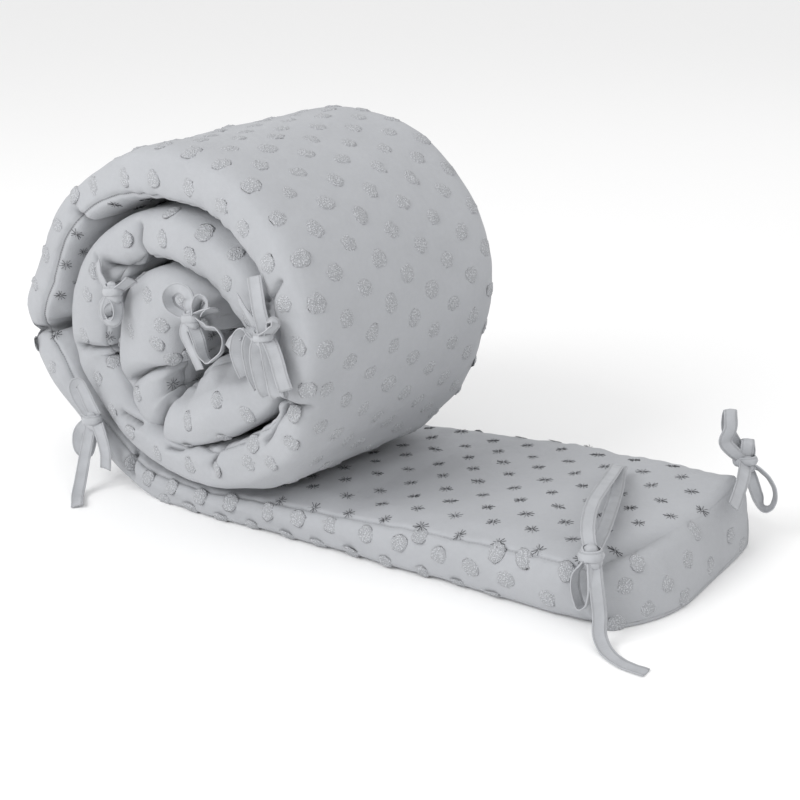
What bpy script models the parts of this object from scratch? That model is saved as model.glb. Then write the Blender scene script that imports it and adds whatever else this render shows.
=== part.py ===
"""Crib bumper: a padded cloth strip, rolled up with one end left lying flat.

The strip is one filled solid, swept along the roll's own spiral with its turns a
little apart. Six ties, each a knot with its loops and free ends, are separate
pieces just clear of the strip's edges.

X runs along the flat end, Y along the roll's axis (the near edge has the smaller
Y), Z is up. Tables are in millimetres and the model in metres. The part is moved
at the end so that its origin is the bottom centre of its bounding box.
"""
import math
from collections import namedtuple

import bmesh
import bpy
from mathutils import Vector

MM = 0.001

for old in list(bpy.data.objects):
    bpy.data.objects.remove(old, do_unlink=True)

# ---------------------------------------------------------------- sizes (mm)
STATION_STEP = 20.0     # along the strip
TURN_GAP = 8.0          # left between two turns
TURN_REACH = 130.0      # a turn further off than this leaves the filling free
OWN_STATIONS = 7        # stations this near along the strip are the same turn
SWELL = 1.33            # how far the filling may swell to meet the next turn
SLANT_SHARE = 0.3       # how much a turn that crosses at a slant takes off the room
FLARE_REACH = 45.0      # how far in from the near edge a flare fades
TUCK_REACH = 30.0       # and a fold's tuck
WALL_REACH = 20.0       # insets below this take the edge's depth
LEAST_STEP = 6.0        # what a bend's inner side keeps of a station's step
EASE_PASSES, EASE = 60, 0.97
CROWN = 1.06            # how far a free face rises in the middle
LOOSER = 0.036          # the roll is this much wider at its far edge
END_BULGE = 44.0        # the flat end's middle stands out past its corners
END_REACH = 110.0
RIBBON_WIDTH = 14.0
RIBBON_THICK = 2.0
RIBBON_STEP = 9.0
LEAST_CLEAR = 0.6       # ties stand at least this far from the floor

# The strip's sections, from the flat end to the inner end. x and z are the
# centre of the filling, near and far its two edges along Y. At a flare the near
# edge opens outward, and at a fold it is tucked in.
Section = namedtuple("Section", "place x z thick near far flare tuck")
SECTIONS = [
    Section("flat end",        446, 33.5,  67,  42, 320,  0,  0),
    Section("flat",            333, 31.0,  62,  21, 325,  0,  0),
    Section("flat",            200, 26.0,  52,  -4, 309,  0,  0),
    Section("flat",             90, 21.0,  42, -26, 280,  0,  0),
    Section("under roll",      -20, 18.5,  37, -49, 250,  0,  0),
    Section("under roll",     -110, 20.0,  40, -62, 232,  0,  4),
    Section("outer slant",    -180, 70.0,  47, -66, 224,  4,  2),
    Section("outer slant",    -238,  127,  46, -68, 222, 12,  0),
    Section("outer fold",     -280,  171,  48, -70, 221, 22, 12),
    Section("outer left",     -239,  237,  50, -68, 220, 16,  0),
    Section("outer left",     -205,  296,  50, -66, 220, 13,  0),
    Section("outer corner",   -151,  342,  50, -65, 218,  9,  5),
    Section("outer top",       -78,  376,  54, -66, 217,  5,  0),
    Section("outer top",         0,  386,  58, -67, 216,  0,  0),
    Section("outer top",        76,  372,  58, -68, 215,  0,  0),
    Section("outer right",     134,  326,  58, -68, 214,  0,  0),
    Section("outer right",     160,  260,  58, -68, 214,  0,  0),
    Section("outer right",     151,  197,  56, -66, 214,  0,  0),
    Section("middle low",      124,  140,  60, -64, 215,  0,  6),
    Section("middle low",       74,   97,  58, -62, 219,  0,  2),
    Section("middle low",        0,   72,  58, -62, 219,  0,  0),
    Section("middle low",      -70,   72,  52, -61, 218,  0,  0),
    Section("middle slant",   -138,  102,  64, -63, 218,  0,  4),
    Section("middle fold",    -184,  151,  82, -66, 218,  0,  8),
    Section("middle left",    -173,  208,  84, -66, 218,  0,  0),
    Section("middle left",    -150,  264,  72, -64, 218,  0,  0),
    Section("middle corner",   -98,  306,  60, -60, 217,  0,  7),
    Section("middle top",      -35,  320,  60, -62, 217,  0,  0),
    Section("middle top",       32,  306,  60, -62, 217,  0,  0),
    Section("middle right",     86,  274,  58, -61, 217,  0,  0),
    Section("middle right",    114,  226,  54, -58, 216,  0,  5),
    Section("inner low",       104,  180,  54, -58, 216,  0,  8),
    Section("inner low",        48,  149,  58, -60, 216,  0,  0),
    Section("inner low",       -16,  118,  58, -59, 215,  0,  2),
    Section("inner fold",      -70,  126,  80, -62, 215,  0,  8),
    Section("inner left",      -88,  168, 108, -62, 214,  0,  4),
    Section("inner left",      -74,  215, 106, -61, 214,  0,  0),
    Section("inner top",       -38,  249,  76, -59, 213,  0,  0),
    Section("inner top",         0,  252,  58, -55, 212,  0,  0),
    Section("inner end",        34,  240,  46, -52, 210,  0,  0),
]

# The section's own outline at an edge: inset from the edge and level, from -1 at
# the outer, tufted face to 1 at the inner face. The tufted cloth is wrapped round
# the side, so the seam lies high on the wall, near the inner face.
Rim = namedtuple("Rim", "name inset level")
RIM = [
    Rim("inner face", 78, 1.00),
    Rim("inner face", 30, 0.98),
    Rim("seam",        8, 0.84),
    Rim("wall",        0, 0.36),
    Rim("wall",        1, -0.30),
    Rim("wall",        4, -0.74),
    Rim("shoulder",   14, -0.97),
    Rim("outer face", 48, -1.00),
]

# An end is closed by rings that step out, draw in and close from above and below,
# so it has a wall and a seam like the sides.
EndRing = namedtuple("EndRing", "out inset above below")
END_RINGS = [EndRing(9, 2, 0.90, 0.92), EndRing(14, 5, 0.74, 0.70),
             EndRing(16.5, 10, 0.46, 0.42), EndRing(17.5, 16, 0.18, 0.16)]

# A tie's ribbons as paths of (x, y, z), with the way the ribbon's width points.
Ribbon = namedtuple("Ribbon", "tie role wide path")
ALONG, ACROSS = (1, 0, 0), (0, 1, 0)
SLANT, BACK = (0.7, 0.7, 0), (-0.45, 0.9, 0)
RIBBONS = [
    Ribbon("tie_flat_near", "long loop", ALONG,
           [(443, 49, 79), (426, 65, 85), (392, 109, 79), (366, 163, 77), (344, 227, 76)]),
    Ribbon("tie_flat_near", "loop back", ALONG,
           [(344, 218, 77), (360, 191, 91), (386, 145, 100), (418, 93, 96), (447, 49, 83)]),
    Ribbon("tie_flat_near", "short loop", ACROSS,
           [(444, 37, 79), (434, 32, 59), (436, 31, 37), (446, 31, 27), (456, 31, 41),
            (457, 32, 61), (450, 37, 79)]),
    Ribbon("tie_flat_near", "free end", SLANT,
           [(452, 41, 79), (464, 31, 55), (470, 29, 31), (474, 25, 13), (486, 19, 4),
            (508, 13, 2.2), (532, 15, 2.2)]),
    Ribbon("tie_flat_far", "tall loop", BACK,
           [(450, 318, 88), (435, 309, 107), (430, 307, 125), (434, 309, 145),
            (442, 312, 151), (448, 315, 141), (448, 315, 121), (454, 320, 88)]),
    Ribbon("tie_flat_far", "small loop", BACK,
           [(452, 319, 90), (454, 320, 111), (463, 324, 115), (465, 324, 102), (456, 320, 88)]),
    Ribbon("tie_flat_far", "free end", SLANT,
           [(457, 315, 89), (477, 309, 83), (492, 299, 69), (498, 289, 55)]),
    Ribbon("tie_flat_far", "outer loop", BACK,
           [(457, 321, 89), (477, 331, 79), (493, 338, 59), (490, 336, 43), (483, 333, 52),
            (477, 330, 71), (458, 319, 86)]),
    Ribbon("tie_left_low", "loop", ACROSS,
           [(-176, -73, 83), (-200, -73, 99), (-202, -73, 117), (-190, -73, 129),
            (-180, -73, 119), (-178, -73, 103), (-173, -73, 83)]),
    Ribbon("tie_left_low", "short loop", ACROSS,
           [(-178, -73, 81), (-202, -73, 67), (-209, -73, 49), (-197, -73, 39),
            (-187, -73, 53), (-174, -73, 79)]),
    Ribbon("tie_left_low", "free end", SLANT,
           [(-174, -75, 81), (-184, -82, 57), (-189, -86, 33), (-182, -93, 13),
            (-162, -107, 3), (-132, -123, 2.4)]),
    Ribbon("tie_left_low", "leg", ALONG,
           [(-172, -75, 81), (-157, -75, 59), (-156, -75, 39), (-162, -73, 25)]),
    Ribbon("tie_left_high", "strap", ALONG,
           [(-125, -68, 242), (-137, -67, 255), (-146, -67, 271)]),
    Ribbon("tie_left_high", "bit", ALONG,
           [(-123, -68, 241), (-107, -68, 253), (-93, -68, 267)]),
    Ribbon("tie_left_high", "loop", ACROSS,
           [(-129, -70, 241), (-143, -70, 227), (-136, -71, 212), (-120, -71, 219),
            (-122, -70, 239)]),
    Ribbon("tie_centre", "dome", ACROSS,
           [(9, -65, 245), (-18, -65, 251), (-25, -65, 267), (-8, -65, 280),
            (11, -65, 277), (16, -65, 261), (13, -65, 245)]),
    Ribbon("tie_centre", "small loop", ACROSS,
           [(15, -65, 247), (26, -65, 267), (38, -65, 267), (32, -65, 253), (15, -65, 242)]),
    Ribbon("tie_centre", "leg", ALONG,
           [(8, -67, 241), (2, -69, 217), (12, -69, 202), (18, -68, 189)]),
    Ribbon("tie_centre", "ring", ACROSS,
           [(14, -65, 244), (42, -65, 245), (59, -65, 229), (51, -65, 209), (32, -65, 205),
            (22, -65, 219), (12, -65, 240)]),
    Ribbon("tie_right", "strap", ALONG,
           [(118, -79, 323), (127, -79, 293), (138, -77, 263)]),
    Ribbon("tie_right", "left fold", ALONG,
           [(134, -77, 261), (116, -77, 243), (114, -77, 221), (128, -77, 195)]),
    Ribbon("tie_right", "right fold", ALONG,
           [(142, -77, 261), (152, -77, 243), (156, -77, 221), (154, -77, 201)]),
    Ribbon("tie_right", "small loop", ACROSS,
           [(142, -77, 263), (156, -77, 276), (164, -77, 265), (144, -77, 255)]),
    Ribbon("tie_right", "free end", ACROSS,
           [(132, -77, 263), (108, -77, 261), (93, -77, 248), (82, -77, 231)]),
]

Knot = namedtuple("Knot", "tie x y z wide deep high")
KNOTS = [
    Knot("tie_flat_near", 448, 42, 80, 22, 18, 18),
    Knot("tie_flat_far", 453, 319, 88, 20, 16, 16),
    Knot("tie_left_low", -175, -73, 82, 20, 14, 18),
    Knot("tie_left_high", -125, -69, 241, 18, 13, 16),
    Knot("tie_centre", 12, -66, 243, 18, 13, 16),
    Knot("tie_right", 138, -77, 261, 26, 14, 16),
]


# ------------------------------------------------------------------ materials
def cloth(name, color, roughness):
    material = bpy.data.materials.new(name)
    material.use_nodes = True
    shader = material.node_tree.nodes["Principled BSDF"]
    shader.inputs["Base Color"].default_value = (*color, 1.0)
    shader.inputs["Roughness"].default_value = roughness
    shader.inputs["Metallic"].default_value = 0.0
    material.diffuse_color = (*color, 1.0)
    return material


# ------------------------------------------------------------- smooth curves
def through(points, step):
    """Points about `step` apart on a centripetal Catmull-Rom curve."""
    rows = [Vector(p) for p in points]
    first = rows[0] * 2 - rows[1]
    last = rows[-1] * 2 - rows[-2]
    rows = [first] + rows + [last]
    curve = []
    for a, b, c, d in zip(rows, rows[1:], rows[2:], rows[3:]):
        ab, bc, cd = (math.sqrt((q - p).length) for p, q in ((a, b), (b, c), (c, d)))
        slope_b = (b - a) / ab - (c - a) / (ab + bc) + (c - b) / bc
        slope_c = (c - b) / bc - (d - b) / (bc + cd) + (d - c) / cd
        pieces = max(2, math.ceil((c - b).length / 2.0))
        for i in range(pieces):
            t = i / pieces
            curve.append(b * (2 * t**3 - 3 * t**2 + 1) + slope_b * bc * (t**3 - 2 * t**2 + t)
                         + c * (3 * t**2 - 2 * t**3) + slope_c * bc * (t**3 - t**2))
    curve.append(rows[-2])
    return evenly(curve, step)


def evenly(curve, step):
    """The same path with its points evenly apart along it."""
    along = [0.0]
    for a, b in zip(curve, curve[1:]):
        along.append(along[-1] + (b - a).length)
    count = max(2, round(along[-1] / step))
    spaced, j = [], 0
    for i in range(count + 1):
        want = along[-1] * i / count
        while j < len(along) - 2 and along[j + 1] < want:
            j += 1
        span = along[j + 1] - along[j]
        t = (want - along[j]) / span if span > 0 else 0.0
        spaced.append(curve[j].lerp(curve[j + 1], min(max(t, 0.0), 1.0)))
    return spaced


def directions(path):
    steps = [(path[min(i + 1, len(path) - 1)] - path[max(i - 1, 0)]) for i in range(len(path))]
    return [step.normalized() for step in steps]


# -------------------------------------------------------------------- the pad
def centre_line():
    """Stations along the strip: the path, its inward normals and its sections."""
    keys = [Vector((s.x, 0.0, s.z)) for s in SECTIONS]
    path = through(keys, STATION_STEP)
    nearest, start = [], 0
    for key in keys:
        start = min(range(start, len(path)), key=lambda i: (path[i] - key).length)
        nearest.append(start)
    stations = []
    for i, point in enumerate(path):
        row = max(k for k in range(len(keys) - 1) if nearest[k] <= i)
        a, b = SECTIONS[row], SECTIONS[row + 1]
        t = min(1.0, (i - nearest[row]) / max(1, nearest[row + 1] - nearest[row]))
        stations.append({key: getattr(a, key) * (1 - t) + getattr(b, key) * t
                         for key in ("thick", "near", "far", "flare", "tuck")})
    for key in ("thick", "near", "far"):
        for _ in range(2):
            values = [station[key] for station in stations]
            for i in range(1, len(stations) - 1):
                stations[i][key] = (values[i - 1] + 2 * values[i] + values[i + 1]) / 4
    for station, point, ahead in zip(stations, path, directions(path)):
        station["point"] = point
        station["ahead"] = ahead
        station["inward"] = Vector((ahead.z, 0.0, -ahead.x))
    return stations


def crossing(origin, ray, a, b):
    """How far along the ray it crosses the segment a-b in the XZ plane."""
    edge, gap = b - a, a - origin
    det = ray.x * edge.z - ray.z * edge.x
    if abs(det) < 1e-9:
        return None
    reach = (gap.x * edge.z - gap.z * edge.x) / det
    share = (gap.x * ray.z - gap.z * ray.x) / det
    return (reach, share) if reach > 0 and 0 <= share <= 1 else None


def half_depth(stations, i, sign):
    """From the centre to the face on one side: at the edges, and in the middle,
    where the filling swells until it nearly meets the next turn."""
    station = stations[i]
    free = station["thick"] / 2
    ray = station["inward"] * sign
    rooms = []
    for j in range(len(stations) - 1):
        if abs(i - j) < OWN_STATIONS:
            continue
        hit = crossing(station["point"], ray, stations[j]["point"], stations[j + 1]["point"])
        if hit and hit[0] < TURN_REACH:
            slant = abs(ray.dot(stations[j]["inward"]))
            share = free / (free + stations[j]["thick"] / 2)
            rooms.append((hit[0] * share - TURN_GAP / 2) 
                         * (1 - SLANT_SHARE * (1 - slant)))
    room = min(rooms, default=free * 2)
    if room < free * 2:
        return [min(free, room), min(free * SWELL, room)]
    return [free, free * CROWN]


def ease_bends(stations, depths, sign):
    """Draws in the inner side of a bend until its sections stay in order."""
    for _ in range(EASE_PASSES):
        for i in range(len(stations) - 1):
            a, b = stations[i], stations[i + 1]
            ahead = (a["ahead"] + b["ahead"]).normalized()
            for k in range(2):
                edge_a = a["point"] + a["inward"] * sign * depths[i][k]
                edge_b = b["point"] + b["inward"] * sign * depths[i + 1][k]
                if (edge_b - edge_a).dot(ahead) < LEAST_STEP:
                    depths[i][k] *= EASE
                    depths[i + 1][k] *= EASE
    return depths


def ring(station, depth_in, depth_out, end=None):
    """One section's outline, as points in space, near side first."""
    points = []
    half_width = (station["far"] - station["near"]) / 2
    middle = (station["far"] + station["near"]) / 2
    for side in (-1, 1):
        for rim in RIM if side < 0 else reversed(RIM):
            inset, level = rim.inset, rim.level
            if end:
                inset = max(inset, end.inset + inset * 0.8)
                level = max(-end.below, min(end.above, level))
            y = middle + side * (half_width - inset)
            edge, inner = depth_in if level > 0 else depth_out
            across = level * (edge if rim.inset < WALL_REACH else inner)
            if side < 0:
                near_share = max(0.0, 1 - rim.inset / TUCK_REACH)
                y += station["tuck"] * near_share
                across -= station["flare"] * math.exp(-rim.inset / FLARE_REACH)
            bow = 1 - ((y - middle) / half_width) ** 2
            push = station.get("bulge", 0.0) * bow
            if end:
                push -= end.out * station["end"] * (0.45 + 0.55 * bow)
            spot = station["point"] + station["inward"] * across - station["ahead"] * push
            spot *= 1 + LOOSER * (y - station["near"]) / (2 * half_width)
            points.append(Vector((spot.x, y, max(spot.z, 0.0))))
    return points


def make_pad(material):
    stations = centre_line()
    inner, outer = (ease_bends(stations, [half_depth(stations, i, sign)
                                          for i in range(len(stations))], sign)
                    for sign in (1, -1))
    depths = list(zip(inner, outer))
    travelled = 0.0
    for i, station in enumerate(stations):
        if i:
            travelled += (station["point"] - stations[i - 1]["point"]).length
        if travelled < END_REACH:
            fade = 1 - travelled / END_REACH
            station["bulge"] = END_BULGE * fade * fade * (3 - 2 * fade)
    rings = []
    for turned, at in ((-1, 0), (1, len(stations) - 1)):
        stations[at]["end"] = turned
    first, last = stations[0], stations[-1]
    for end in reversed(END_RINGS):
        rings.append(ring({**first, "end": -1}, *depths[0], end))
    rings += [ring(station, *depth) for station, depth in zip(stations, depths)]
    for end in END_RINGS:
        rings.append(ring({**last, "end": 1}, *depths[-1], end))
    shape = bmesh.new()
    loops = [[shape.verts.new(p * MM) for p in points] for points in rings]
    for a, b in zip(loops, loops[1:]):
        for k in range(len(a)):
            n = (k + 1) % len(a)
            shape.faces.new((a[k], a[n], b[n], b[k]))
    for loop in (loops[0], loops[-1]):
        half = len(loop) // 2
        for k in range(half - 1):
            shape.faces.new((loop[k], loop[k + 1], loop[-k - 2], loop[-k - 1]))
    return finish(shape, "bumper_pad", material)


# ------------------------------------------------------------------- the ties
def ribbon(spec):
    """A flat ribbon swept along its path, its width pointing the given way."""
    path = through(spec.path, RIBBON_STEP)
    half, thin = RIBBON_WIDTH / 2, RIBBON_THICK / 2
    shape = bmesh.new()
    loops = []
    for point, ahead in zip(path, directions(path)):
        wide = Vector(spec.wide)
        across = (wide - ahead * wide.dot(ahead)).normalized()
        face = across.cross(ahead)
        corners = [point + across * a * half + face * f * thin
                   for a, f in ((-1, -1), (1, -1), (1, 1), (-1, 1))]
        loops.append([shape.verts.new(Vector((c.x, c.y, max(c.z, LEAST_CLEAR))) * MM)
                      for c in corners])
    for a, b in zip(loops, loops[1:]):
        for k in range(4):
            n = (k + 1) % 4
            shape.faces.new((a[k], a[n], b[n], b[k]))
    shape.faces.new(loops[0])
    shape.faces.new(loops[-1])
    return shape


def make_tie(knot, material):
    """The knot as a soft lump, with each ribbon of the tie joined into it."""
    shape = bmesh.new()
    bmesh.ops.create_uvsphere(shape, u_segments=10, v_segments=6, radius=0.5)
    for vert in shape.verts:
        vert.co = Vector((vert.co.x * knot.wide + knot.x, vert.co.y * knot.deep + knot.y,
                          vert.co.z * knot.high + knot.z)) * MM
    tie = finish(shape, knot.tie, material)
    for k, spec in enumerate(s for s in RIBBONS if s.tie == knot.tie):
        part = finish(ribbon(spec), f"{knot.tie}_cut_{k}", material)
        part.hide_render = True
        part.display_type = "WIRE"
        joint = tie.modifiers.new(spec.role, "BOOLEAN")
        joint.operation = "UNION"
        joint.solver = "EXACT"
        joint.use_self = True
        joint.object = part
    return tie


def finish(shape, name, material):
    bmesh.ops.recalc_face_normals(shape, faces=shape.faces)
    mesh = bpy.data.meshes.new(name)
    shape.to_mesh(mesh)
    shape.free()
    mesh.materials.append(material)
    mesh.shade_smooth()
    obj = bpy.data.objects.new(name, mesh)
    bpy.context.scene.collection.objects.link(obj)
    return obj


def settle():
    """Puts the origin at the bottom centre of everything that shows."""
    bpy.context.view_layer.update()
    seen = bpy.context.evaluated_depsgraph_get()
    solid = [o for o in bpy.data.objects if o.type == "MESH" and not o.hide_render]
    spots = [o.matrix_world @ v.co for o in solid for v in o.evaluated_get(seen).data.vertices]
    low = [min(p[k] for p in spots) for k in range(3)]
    high = [max(p[k] for p in spots) for k in range(3)]
    shift = Vector(((low[0] + high[0]) / 2, (low[1] + high[1]) / 2, low[2]))
    for obj in bpy.data.objects:
        obj.location -= shift


pad_cloth = cloth("pad_cloth", (0.50, 0.51, 0.53), 0.95)
tie_cloth = cloth("tie_cloth", (0.48, 0.49, 0.51), 0.95)
make_pad(pad_cloth)
for knot in KNOTS:
    make_tie(knot, tie_cloth)
settle()
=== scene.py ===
# %% [markdown]
# # A rolled crib bumper
# A crib bumper is a long padded strip: two cloths sewn round a soft filling, with
# ribbons that tie it to the cot's bars. This one has raised fluffy dots on its outer
# cloth and small stitched stars on its inner cloth. It is rolled up, and one end is
# left lying flat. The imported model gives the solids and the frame, and everything
# below dresses it: the puffed cloth, the dots, the stars and the ribbons.

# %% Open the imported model
import math
from collections import namedtuple

import bmesh
import bpy
import numpy as np
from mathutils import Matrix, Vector
from mathutils.bvhtree import BVHTree


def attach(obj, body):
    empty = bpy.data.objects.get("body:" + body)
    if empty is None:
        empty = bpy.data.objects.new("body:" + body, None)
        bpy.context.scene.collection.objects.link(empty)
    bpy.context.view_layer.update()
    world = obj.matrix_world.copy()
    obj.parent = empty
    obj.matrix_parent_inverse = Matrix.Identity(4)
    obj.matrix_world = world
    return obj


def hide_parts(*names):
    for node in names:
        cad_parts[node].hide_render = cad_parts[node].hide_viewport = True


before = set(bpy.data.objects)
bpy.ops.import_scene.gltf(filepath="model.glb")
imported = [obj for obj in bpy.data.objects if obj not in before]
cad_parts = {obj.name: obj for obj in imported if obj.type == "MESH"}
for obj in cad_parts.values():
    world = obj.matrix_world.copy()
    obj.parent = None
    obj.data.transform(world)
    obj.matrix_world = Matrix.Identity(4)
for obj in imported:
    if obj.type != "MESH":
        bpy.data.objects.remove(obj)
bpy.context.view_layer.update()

print("nodes:", ", ".join(sorted(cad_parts)))

# %% [markdown]
# ## The frame the strip was measured in
# The strip's sections are given in millimetres about the middle of the roll, with Y
# along the roll's axis. The model's origin is the bottom centre of its box, so every
# finished point is moved by one fixed shift and turned to metres.

# %% Millimetres about the roll to metres in the model
MM = 0.001
ROLL_AT = np.array([108.67, 107.77, 0.0])


def placed(points):
    """Points in the model's frame, in metres."""
    return (np.asarray(points, float) - ROLL_AT) * MM


def unplaced(point):
    """A point of the model back in millimetres about the roll."""
    return np.array(point) / MM + ROLL_AT


# %% [markdown]
# ## The camera
# It stands 1.7 m off, a little above the roll, and looks along it from the right.

# %% Set up the camera
EYE, LOOK_AT = (1075.25, -910.36, 669.17), (4.18, 263.57, 58.43)
LENS, SENSOR = 60.75, 36


def in_scene(name, data):
    """A new object in the scene, at the origin."""
    thing = bpy.data.objects.new(name, data)
    bpy.context.scene.collection.objects.link(thing)
    return thing


eye, look_at = (Vector(placed(p)) for p in (EYE, LOOK_AT))
camera = in_scene("camera", bpy.data.cameras.new("camera"))
camera.data.lens, camera.data.sensor_width = LENS, SENSOR
camera.location = eye
camera.rotation_euler = (look_at - eye).to_track_quat("-Z", "Y").to_euler()
bpy.context.scene.camera = camera
print("camera", round((eye - look_at).length, 2), "m from the roll")

# %% [markdown]
# ## Shader maths written as Python
# Each finish below is a small tree of nodes. Writing the maths as Python keeps it
# readable: a Value wraps one socket, and + - * on it add the Math nodes. Any other
# node comes from one method that sets its options first and then its sockets.

# %% Shader maths as Python
SHINE, SHEEN_ROUGH, LUMPS_PER_SCALE, NOISE_ROUGH = 0.25, 0.6, 0.7, 0.55


class Value:
    def __init__(self, finish, socket):
        self.finish, self.socket = finish, socket

    def _with(self, operation, a, b):
        return self.finish.node("ShaderNodeMath", {"operation": operation}, {0: a, 1: b})

    def __add__(self, other): return self._with("ADD", self, other)
    def __radd__(self, other): return self._with("ADD", other, self)
    def __sub__(self, other): return self._with("SUBTRACT", self, other)
    def __rsub__(self, other): return self._with("SUBTRACT", other, self)
    def __mul__(self, other): return self._with("MULTIPLY", self, other)
    def __rmul__(self, other): return self._with("MULTIPLY", other, self)
    def __abs__(self): return self._with("ABSOLUTE", self, 0.0)


# %% A finish on its bench
class Finish:
    """A material on its bench: node() adds any node and returns its output."""

    def __init__(self, name, roughness, sheen=0.0):
        self.material = bpy.data.materials.new(name)
        self.material.use_nodes = True
        self.tree = self.material.node_tree
        self.shader = self.tree.nodes["Principled BSDF"]
        for socket, value in (("Roughness", roughness), ("Specular IOR Level", SHINE),
                              ("Sheen Weight", sheen), ("Sheen Roughness", SHEEN_ROUGH)):
            self.shader.inputs[socket].default_value = value

    def node(self, kind, settings=None, values=None, output=0):
        node = self.tree.nodes.new(kind)
        for key, value in (settings or {}).items():
            setattr(node, key, value)
        for key, value in (values or {}).items():
            if isinstance(value, Value):
                self.tree.links.new(value.socket, node.inputs[key])
            else:
                node.inputs[key].default_value = value
        return Value(self, node.outputs[output])

    def place(self):
        return self.node("ShaderNodeTexCoord", output="Object")

    def attribute(self, name):
        return self.node("ShaderNodeAttribute", {"attribute_name": name}, output="Fac")

    def sine(self, value):
        return self.node("ShaderNodeMath", {"operation": "SINE"}, {0: value})

    def noise(self, at, size, detail=2.0):
        """Soft noise whose lumps are about size metres across."""
        return self.node("ShaderNodeTexNoise", {}, {
            "Vector": at, "Scale": LUMPS_PER_SCALE / size, "Detail": detail,
            "Roughness": NOISE_ROUGH})

    def stepped(self, value, low, high):
        """0 below low and 1 above high, with a soft step between."""
        return self.node("ShaderNodeMapRange", {"interpolation_type": "SMOOTHSTEP"},
                         {"Value": value, "From Min": low, "From Max": high}, "Result")

    def mix(self, share, a, b):
        ends = {6: a if isinstance(a, Value) else (*a, 1.0),
                7: b if isinstance(b, Value) else (*b, 1.0)}
        return self.node("ShaderNodeMix", {"data_type": "RGBA"}, {0: share, **ends}, 2)

    def bumps(self, height, distance):
        """Raises the surface by height (0 to 1) times distance, in metres."""
        return self.node("ShaderNodeBump", {}, {"Height": height, "Distance": distance,
                                                "Strength": 1.0})

    def done(self, color, normal):
        self.tree.links.new(color.socket, self.shader.inputs["Base Color"])
        self.tree.links.new(normal.socket, self.shader.inputs["Normal"])
        return self.material


# %% [markdown]
# ## The strip's sections
# The strip is described by its sections, from the flat end round the roll to the
# inner end: where the middle of the filling is, how thick it is there, where its near
# and far edges lie, and how much the near edge flares out or is tucked in. They follow
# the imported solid's sections, so the puffed cloth keeps to the solid's space.

# %% The table of sections, in millimetres
Section = namedtuple("Section", "place x z thick near far flare tuck")
SECTIONS = [Section(*row) for row in [
    ("flat end",       446, 33.5, 67,  42, 320,  0,  0),
    ("flat",           333, 31.0, 62,  21, 325,  0,  0),
    ("flat",           200, 26.0, 52,  -4, 309,  0,  0),
    ("flat",            90, 21.0, 42, -26, 280,  0,  0),
    ("under roll",     -20, 18.5, 37, -49, 250,  0,  0),
    ("under roll",    -110, 20.0, 40, -62, 232,  0,  4),
    ("outer slant",   -180, 70.0, 47, -66, 224,  4,  2),
    ("outer slant",   -238,  127, 46, -68, 222, 12,  0),
    ("outer fold",    -280,  171, 48, -70, 221, 22, 12),
    ("outer left",    -239,  237, 50, -68, 220, 16,  0),
    ("outer left",    -205,  296, 50, -66, 220, 13,  0),
    ("outer corner",  -151,  342, 50, -65, 218,  9,  5),
    ("outer top",      -78,  376, 54, -66, 217,  5,  0),
    ("outer top",        0,  386, 58, -67, 216,  0,  0),
    ("outer top",       76,  372, 58, -68, 215,  0,  0),
    ("outer right",    134,  326, 58, -68, 214,  0,  0),
    ("outer right",    160,  260, 58, -68, 214,  0,  0),
    ("outer right",    151,  197, 56, -66, 214,  0,  0),
    ("middle low",     124,  140, 60, -64, 215,  0,  6),
    ("middle low",      74,   97, 58, -62, 219,  0,  2),
    ("middle low",       0,   72, 58, -62, 219,  0,  0),
    ("middle low",     -70,   72, 52, -61, 218,  0,  0),
    ("middle slant",  -138,  102, 64, -63, 218,  0,  4),
    ("middle fold",   -184,  151, 82, -66, 218,  0,  8),
    ("middle left",   -173,  208, 84, -66, 218,  0,  0),
    ("middle left",   -150,  264, 72, -64, 218,  0,  0),
    ("middle corner",  -98,  306, 60, -60, 217,  0,  7),
    ("middle top",     -35,  320, 60, -62, 217,  0,  0),
    ("middle top",      32,  306, 60, -62, 217,  0,  0),
    ("middle right",    86,  274, 58, -61, 217,  0,  0),
    ("middle right",   114,  226, 54, -58, 216,  0,  5),
    ("inner low",      104,  180, 54, -58, 216,  0,  8),
    ("inner low",       48,  149, 58, -60, 216,  0,  0),
    ("inner low",      -16,  118, 58, -59, 215,  0,  2),
    ("inner fold",     -70,  126, 80, -62, 215,  0,  8),
    ("inner left",     -88,  168, 108, -62, 214, 0,  4),
    ("inner left",     -74,  215, 106, -61, 214, 0,  0),
    ("inner top",      -38,  249, 76, -59, 213,  0,  0),
    ("inner top",        0,  252, 58, -55, 212,  0,  0),
    ("inner end",       34,  240, 46, -52, 210,  0,  0),
]]
print(len(SECTIONS), "sections")

# %% [markdown]
# ## A smooth path with even steps
# A centripetal curve through the middles of the sections never loops at a tight fold,
# which is why it is used for the strip and, later, for every ribbon.

# %% Helpers for paths
CURVE_STEP = 2        # millimetres between the points of a smooth curve, at most


def smooth_curve(keys):
    keys = np.asarray(keys, float)
    rows = np.vstack([2 * keys[0] - keys[1], keys, 2 * keys[-1] - keys[-2]])
    pieces = []
    for a, b, c, d in zip(rows, rows[1:], rows[2:], rows[3:]):
        ab, bc, cd = (math.sqrt(np.linalg.norm(q - p)) for p, q in ((a, b), (b, c), (c, d)))
        leave = (b - a) / ab - (c - a) / (ab + bc) + (c - b) / bc
        arrive = (c - b) / bc - (d - b) / (bc + cd) + (d - c) / cd
        count = max(2, math.ceil(np.linalg.norm(c - b) / CURVE_STEP))
        t = (np.arange(count) / count)[:, None]
        pieces.append(b * (2 * t**3 - 3 * t**2 + 1) + leave * bc * (t**3 - 2 * t**2 + t)
                      + c * (3 * t**2 - 2 * t**3) + arrive * bc * (t**3 - t**2))
    return np.vstack(pieces + [keys[-1:]])


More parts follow.
